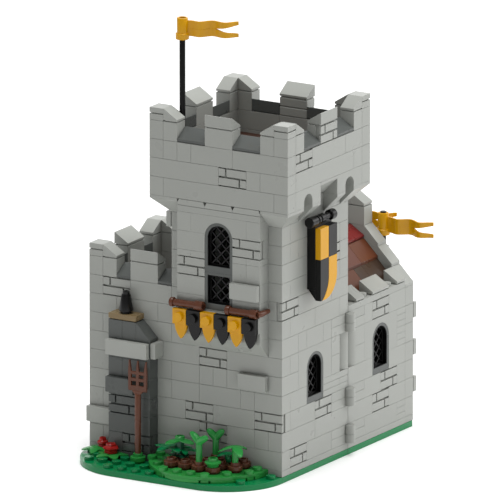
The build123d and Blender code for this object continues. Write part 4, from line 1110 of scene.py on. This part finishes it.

# ---------------------------------------------------------------- tiles on edge
# Light bluish grey tiles pressed on to bricks with side studs, so that single stones stand proud
# of the walls. A band of them runs round the buttress.

# The tiles in front are a little lighter grey than the walls: painted light on faces that stand
# proud.
grey_with_painted_light = moulded_abs("light_grey", "tile_grey_with_painted_light", "#999B96", 0.22, 0.02)
tile_edge = 0.0002
front_tiles = [wall_tiles("front", 0, [(0, 2, 5), (11, 2, 14)]),
               wall_tiles("front", -1, [(11, 2, 29), (2, 3, 17)]),
               wall_tiles("left", 6, [(0, 2, 38)]), wall_tiles("right", 5, [(-1, 1, 17)])]
piece("stones_in_front", grey_with_painted_light, "raised_stones", front_tiles, edge=tile_edge)
piece("stones_at_the_rear", light_grey, "rear_stones",
      [wall_tiles("rear", 16, [(12, 2, 5), (12, 2, 11), (12, 2, 17)])], body="rear",
      edge=tile_edge)

# ---------------------------------------------------------------- flags
# Yellow flags, each moulded in one with the collar that clips round its black pole. The cloth is
# a thin waved sheet that ends in two tails.

flag_length, flag_notch, tail_height, flag_height = 0.028, 0.56, 0.0018, 0.008
wave_depth, cloth_thickness, cloth_start, cloth_edge = 0.0016, 0.001, 0.0019, 0.0001


def flag_cloth(column, row, height, turn):
    """Two halves of a waved sheet about a middle height, turned by so many degrees.

    Along the flag a point lies aside by the wave depth times the sine of 4 pi * (share - 0.375).
    Up the flag the inner edge is the middle line as far as the notch, and then climbs towards the
    tail's outer edge.
    """
    shares = np.linspace(0, 1, 41)[:, None]
    rises = np.linspace(0, 1, 5)[None]
    half = flag_height / 2
    inner = np.clip((shares - flag_notch) / (1 - flag_notch), 0, 1) * (half - tail_height)
    run = cloth_start + shares * (flag_length - cloth_start) + 0 * rises
    swing = wave_depth * np.clip(shares * 4, 0.2, 1)
    wave = swing * np.sin(4 * math.pi * (shares - 0.375)) + 0 * rises
    slope = np.gradient(wave[:, 0], run[:, 0])
    lift = inner + (half - inner) * rises
    cosine, sine = math.cos(math.radians(turn)), math.sin(math.radians(turn))
    parts = []
    for side in (1, -1):
        sheets = []
        for offset in (1, -1):
            flank = offset * cloth_thickness / 2 / np.sqrt(1 + slope**2)
            x, y = run - (flank * slope)[:, None], wave + flank[:, None]
            sheets.append(np.stack([across(column) + x * cosine - y * sine,
                                    along(row) + x * sine + y * cosine,
                                    level(height) + side * lift], axis=2))
        rows, cells = run.shape
        index = np.arange(rows * cells).reshape(rows, cells)
        left = np.stack([index[:-1, :-1], index[:-1, 1:], index[1:, 1:], index[1:, :-1]],
                        axis=2).reshape(-1, 4)
        edge = np.concatenate([index[:, 0], index[-1, 1:], index[-2::-1, -1], index[0, -2:0:-1]])
        following = np.roll(edge, -1)
        rim_faces = np.stack([edge, following, following + rows * cells, edge + rows * cells],
                             axis=1)
        faces = [left, left[:, ::-1] + rows * cells, rim_faces]
        if side < 0:
            faces = [face[:, ::-1] for face in faces]
        parts.append((np.concatenate(sheets).reshape(1, -1, 3), faces))
    return parts


def collar(column, row, foot, top):
    """Collar of a flag: a thick ring at its foot, and an open sleeve that ends over the cloth."""
    tall = (top - foot) * plate * 1000 - 0.2
    profile = [(0, 0), (3.2, 0), (3.4, 0.2), (3.4, 2.9), (3.2, 3.1), (2.75, 3.2),
               (2.75, tall - 0.3), (2.6, tall), (1.8, tall), (1.6, tall - 1.8), (0, tall - 1.8)]
    return turned(profile, [(column, row, foot)], sides=32)


def pole(plates, places):
    """Round 3 mm poles of a height in plates, with a narrow top."""
    tall = level(plates) * 1000
    profile = [(0, 0), (1.5, 0), (1.5, tall - 0.32), (1.3, tall), (0, tall)]
    return turned(profile, places)


main_flag = [*flag_cloth(6.5, 0.5, 70.25, 22), collar(6.5, 0.5, 68.5, 72)]
facing_out(piece("main_flag", yellow, "flag", main_flag, edge=cloth_edge))
foot_profile = [(0, 0), (3.4, 0), (3.4, 3.1), (3.3, 3.2), (2.4, 3.2), (2.4, 4.8), (2.2, 5), (0, 5)]
piece("main_flag_pole", black, "flagpole",
      [pole(22.5, [(6.5, 0.5, 49)]), turned(foot_profile, [(6.5, 0.5, tower_deck + 1)])], edge=0)

rear_flags = []
for column, turn in ((8.5, 16.5), (11.5, 1)):
    rear_flags += [*flag_cloth(column, 16.5, 31.6, turn), collar(column, 16.5, 29.9, 33.55)]
facing_out(piece("flags_behind_the_gable", yellow, "rear_flags", rear_flags, body="rear",
                 edge=cloth_edge))
rear_poles = [pole(6.5, [(8.5, 16.5, 27.2), (11.5, 16.5, 27.2)]),
              blocks([(8.2, 8.8, 16, 16.7, 27.2, 28.2), (11.2, 11.8, 16, 16.7, 27.2, 28.2)])]
piece("rear_flag_poles", black, "rear_flagpole", rear_poles, body="rear")

# ---------------------------------------------------------------- hinge bricks
# Pairs of light bluish grey hinge bricks at three heights. Each pair shares a round knuckle at
# the outer edge: the tower's half turns on a pin in the hall's half.

hinge_reach = 0.00095       # how far the hinge's axis stands out from the wall
hinge_x, hinge_y = across(14) + hinge_reach, along(8)
knuckle_heights = [2, 8, 20]
knuckle_run = 1.5 * plate * 1000 - 0.23     # half a brick, less the play at both ends
lower_knuckle = [(0, 0), (2.5, 0), (2.75, 0.2), (2.75, knuckle_run), (0, knuckle_run)]
upper_knuckle = [(0, 0), (2.75, 0), (2.75, knuckle_run - 0.2), (2.5, knuckle_run), (0, knuckle_run)]
hinge_column = 14 + hinge_reach / stud
lower_play = 0.0625         # plates, or 0.2 mm under the lower half
upper_play = 0.009375       # plates, or 0.03 mm between the halves
lower_places = [(hinge_column, 8, height + lower_play) for height in knuckle_heights]
upper_places = [(hinge_column, 8, height + 1.5 + upper_play) for height in knuckle_heights]
knuckle_room = 0.00305      # radius of the hollow that a knuckle turns in
bite_angle = math.degrees(math.acos(hinge_reach / knuckle_room))


def bitten(start, end):
    """Plan of a hinge brick from its plain end to its end at the hinge. That end's corner is a
    hollow arc about the hinge's axis, a hair wider than the other half's knuckle."""
    inner, outer, way = across(13), across(14), math.copysign(1, start - end)
    hollow = arc((hinge_x, hinge_y), knuckle_room, 180 - way * bite_angle, 180, 8)
    if abs(end - 8) > 0.01:
        hollow = hollow[hollow[:, 1] * way >= along(end) * way]
        hollow = np.concatenate([hollow, [(hollow[-1, 0], along(end))]])
    return np.concatenate([[(inner, along(start)), (outer, along(start))], hollow,
                           [(inner, along(end))]])


hinge_front, hinge_rear = [], []
for height in knuckle_heights:
    joint = height + 1.5
    hinge_front += [blocks([(13, 14, 6, 8, height, joint)]),
                    prisms(bitten(6, 8), "xy", (joint, height + 3))]
    hinge_rear += [prisms(bitten(10, hall_line), "xy", (height, joint)),
                   blocks([(13, 14, hall_line, 10, joint, height + 3)])]
piece("tower_hinge_bricks", light_grey, "hinge_front",
      [*hinge_front, turned(lower_knuckle, lower_places, sides=32)])
piece("hall_hinge_bricks", light_grey, "hinge_rear",
      [*hinge_rear, turned(upper_knuckle, upper_places, sides=32)], body="rear")

# ---------------------------------------------------------------- hall walls
# Side walls of the hall in light bluish grey bricks, with an arched window each. A course of
# plates on top carries the roof and leaves two studs free.

hall_spans = laid(
    "along", 13, 14,
    {2: (10, 14), 5: (hall_line, 11), 8: (10, 12), 11: (hall_line, 11), 14: (9, 10), 17: (9, 10),
     20: (10, 11)},
    {5: (13, 15), 11: (13, 15), 20: (13, 15)},
)
hall_spans += [(13, 14, 14, 15, bottom, bottom + 1) for bottom in (2, 3, 4, 14, 15, 16, 17, 18, 19)]
hall_spans += [(13, 14, 14, 15, 8, 11), (13, 14, hall_line, 15, 1, 2),
               (11, 14, hall_line, 12, 23, 24), (11, 14, 12, 15, 23, 24)]
hall_spans += masonry("right", 14, [(11, 20), (12, 8), (11, 5)])
hall_arch = arch_brick(along(12), 14, 20, window_spring)


def hall_studs(column):
    """The two studs that the roof and the caps leave free on a side wall."""
    return turned(stud_profile, [(column, 10.5, 24), (column, 13.5, 24)])


hall_right_parts = [blocks(hall_spans),
                    prisms(round_corner(hall_front, along(9)), "xy", (14, 20)),
                    prisms(hall_arch, "yz", (13, 14)), hall_studs(13.5)]
piece("hall_right_bricks", light_grey, "hall_right_wall", hall_right_parts, body="rear")

hall_left_spans = laid(
    "along", 6, 7,
    {2: (hall_line, 10, 14), 5: (hall_line, 11, 13, 15), 8: (hall_line, 10, 12),
     11: (hall_line, 11), 14: (hall_line, 10), 20: (hall_line, 9), 17: (hall_line, 9, 10)},
    {11: (13, 15), 14: (14, 15), 17: (14, 15), 20: (11, 13, 15), 2: (14, 15), 8: (14, 15)},
)
hall_left_spans += [(6, 7, hall_line, 15, 1, 2), (6, 9, hall_line, 12, 23, 24),
                    (6, 9, 12, 15, 23, 24)]
hall_left_spans += masonry("left", 6, [(9, 20), (12, 8)])
hall_left_parts = [blocks(hall_left_spans), prisms(hall_arch, "yz", (6, 7)),
                   hall_studs(6.5)]
piece("hall_left_bricks", light_grey, "hall_left_wall", hall_left_parts, body="rear")

# ---------------------------------------------------------------- gable
# The gable closes the hall at the rear. Its courses step in one stud each under sloped copings,
# up to a raised middle with a cap.

gable_spans = laid(
    "across", 15, 16,
    {2: (6, 8, 12, 14), 5: (6, 9, 14), 8: (6, 7, 11, 13, 14), 11: (6, 9), 14: (6, 8), 17: (6, 8),
     20: (6, 10, 14)},
    {11: (11, 14), 14: (12, 14), 17: (12, 14)},
)
gable_spans += [(6, 14, 15, 16, 1, 2), (7, 13, 15, 16, 23, 26), (8, 12, 15, 16, 26, 29),
                (9, 11, 15, 16, 29, 32), (9, 11, 15, 16, 32, 35)]
gable_arch = prisms(arch_brick(across(10), 14, 20, window_spring), "xz", (15, 16))
coping_foot = 23
coping_parts = []
for side in (1, -1):
    for step in range(3):
        low, high = across(10 + side * (4 - step)), across(10 + side * (3 - step))
        foot = coping_foot + 3 * step
        coping_parts.append(prisms(slope_outline(low, high, foot, foot + 3), "xz", (15, 16)))
    coping_parts += cap_slopes("across", 10 + side, 10, 35, (15, 16))
piece("gable_bricks", light_grey, "gable_wall", [blocks(gable_spans), gable_arch, *coping_parts],
      body="rear")

# ---------------------------------------------------------------- roof
# Roof slopes of 45 degrees in reddish brown ABS, two rows a side, under a ridge of small dark red
# slopes. Four browns are used, and the lower slopes at the rear are the darkest.


def roof_slopes(reach, foot, rows):
    """Pairs of 45 degree slopes that rise one stud inwards from their reach, with a stud behind."""
    parts = []
    for side in (1, -1):
        low, high, inner = (across(10 + side * (reach - step)) for step in (0, 1, 2))
        outline = [(low, level(foot)), (low, level(foot) + slope_lip), (high, level(foot + 3)),
                   (inner, level(foot + 3)), (inner, level(foot))]
        parts += [prisms(outline, "xz", row) for row in rows]
    return parts


for name, node, shade, colour, spread, reach, foot, rows in [
    ("roof_lower_slopes_in_front", "roof_lower", "pale", "#573121", 0.03, 3, 24,
     [(hall_line, 10), (10, 12)]),
    ("roof_lower_slopes", "roof_lower", "dull", "#3A2B21", 0.05, 3, 24, [(12, 13), (13, 15)]),
    ("roof_upper_slopes_in_front", "roof_upper", "upper_front", "#5A352A", 0.03, 2, 27,
     [(hall_line, 11), (11, 13)]),
    ("roof_upper_slopes", "roof_upper", "warm", "#592F1A", 0.05, 2, 27, [(13, 15)]),
]:
    finish = moulded_abs("reddish_brown", shade + "_reddish_brown", colour, 0.3, spread)
    piece(name, finish, node, roof_slopes(reach, foot, rows), body="rear")
dark_red = moulded_abs("dark_red", "dark_red", "#6A211F", 0.25, 0.05)
ridge_parts = []
for side in (1, -1):
    ridge_parts += cap_slopes("across", 10 + side, 10, 30, [(hall_line, 10), (10, 12), (12, 15)])
piece("roof_ridge_slopes", dark_red, "roof_ridge", ridge_parts, body="rear")

# ---------------------------------------------------------------- caps of the hall walls
# Small light bluish grey slopes along both side walls, with a stud left free on each side of the
# middle pair.

hall_cap_parts = []
for wall, inner in ((14, 13), (6, 7)):
    hall_cap_parts += cap_slopes("across", wall, inner, 24, [(9, 10), (11, 13), (14, 15)])
piece("hall_cap_slopes", light_grey, "hall_caps", hall_cap_parts, body="rear")

# ---------------------------------------------------------------- windows of the hall
# Three more arched frames with black lattices, one in each side wall and one in the gable.

hall_windows = [("right", 14, 12), ("left", 6, 12), ("rear", 16, 10)]
piece("hall_window_frames", dark_grey, "hall_frames",
      [frame_at(*place, *tall_heights) for place in hall_windows], body="rear")
hall_lattices = [part for place in hall_windows
                 for part in lattice(*place, *tall_heights, tall_node)]
facing_out(piece("hall_window_lattices", black, "hall_lattices", hall_lattices, body="rear",
                 edge=bar_edge, segments=1))

# ---------------------------------------------------------------- floor, lights and camera
# A plain white floor under soft studio light: a wide lamp behind at the right, one overhead, a
# low one behind that gives the flat tops their sheen, and a pale room.

floor_mesh = bpy.data.meshes.new("studio_floor")
reach = 6                   # metres from the middle of the floor to its edge
corners = [(-reach, -reach, 0), (reach, -reach, 0), (reach, reach, 0), (-reach, reach, 0)]
floor_mesh.from_pydata(corners, [], [(0, 1, 2, 3)])
floor = bpy.data.objects.new("studio_floor", floor_mesh)
bpy.context.scene.collection.objects.link(floor)
paint = bpy.data.materials.new("matt_white_floor")
paint.use_nodes = True
paint.node_tree.nodes.clear()
matt = add_node(
    paint,
    "BsdfPrincipled",
    {"Base Color": linear("#F6F6F6"), "Roughness": 1.0, "Specular IOR Level": 0.0,
     "Emission Color": linear("#FFFFFF"), "Emission Strength": 0.05},
)
add_node(paint, "OutputMaterial", {"Surface": matt.outputs["BSDF"]})
floor_mesh.materials.append(paint)
floor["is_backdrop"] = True

room = bpy.data.worlds.new("studio_room")
room.use_nodes = True
room.node_tree.nodes["Background"].inputs["Color"].default_value = (1, 1, 1, 1)
room.node_tree.nodes["Background"].inputs["Strength"].default_value = 0.36
bpy.context.scene.world = room


def lamp(name, place, aim, width, height, power):
    """Area lamp at a place, turned towards its aim."""
    data = bpy.data.lights.new(name, "AREA")
    data.shape, data.size, data.size_y, data.energy = "RECTANGLE", width, height, power
    made = bpy.data.objects.new(name, data)
    bpy.context.scene.collection.objects.link(made)
    made.location = place
    made.rotation_euler = (Vector(aim) - Vector(place)).to_track_quat("-Z", "Y").to_euler()
    made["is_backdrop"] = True


lamp("key_lamp", (1.5, 1.5, 1.2), (0, 0, 0.1), 1.7, 1.7, 32)
lamp("top_lamp", (0, 0, 2.5), (0, 0, 0.1), 1.6, 1.6, 64)
lamp("back_lamp", (-1.5, 2.5, 0.8), (0, 0, 0.15), 2.2, 1.3, 9)

azimuth, elevation = math.radians(31.009), math.radians(14.761)
back_vector = np.array([math.sin(azimuth) * math.cos(elevation),
                        -math.cos(azimuth) * math.cos(elevation), math.sin(elevation)])
right_vector = np.array([math.cos(azimuth), math.sin(azimuth), 0])
up_vector = np.cross(back_vector, right_vector)
aim = np.array([-0.024, 0.032, 0.096]) - 0.00086 * right_vector + 0.00198 * up_vector
lens = bpy.data.cameras.new("studio_camera")
lens.lens, lens.sensor_width = 1502.8, 36
lens.clip_start, lens.clip_end = 1, 60
camera = bpy.data.objects.new("studio_camera", lens)
bpy.context.scene.collection.objects.link(camera)
distance = 10.418           # metres from the aim, so that lines that run back stay near parallel
camera.location = aim + distance * back_vector
camera.rotation_euler = (math.pi / 2 - elevation, 0, azimuth)
bpy.context.scene.camera = camera
bpy.context.scene.view_settings.view_transform = "Standard"

low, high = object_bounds()
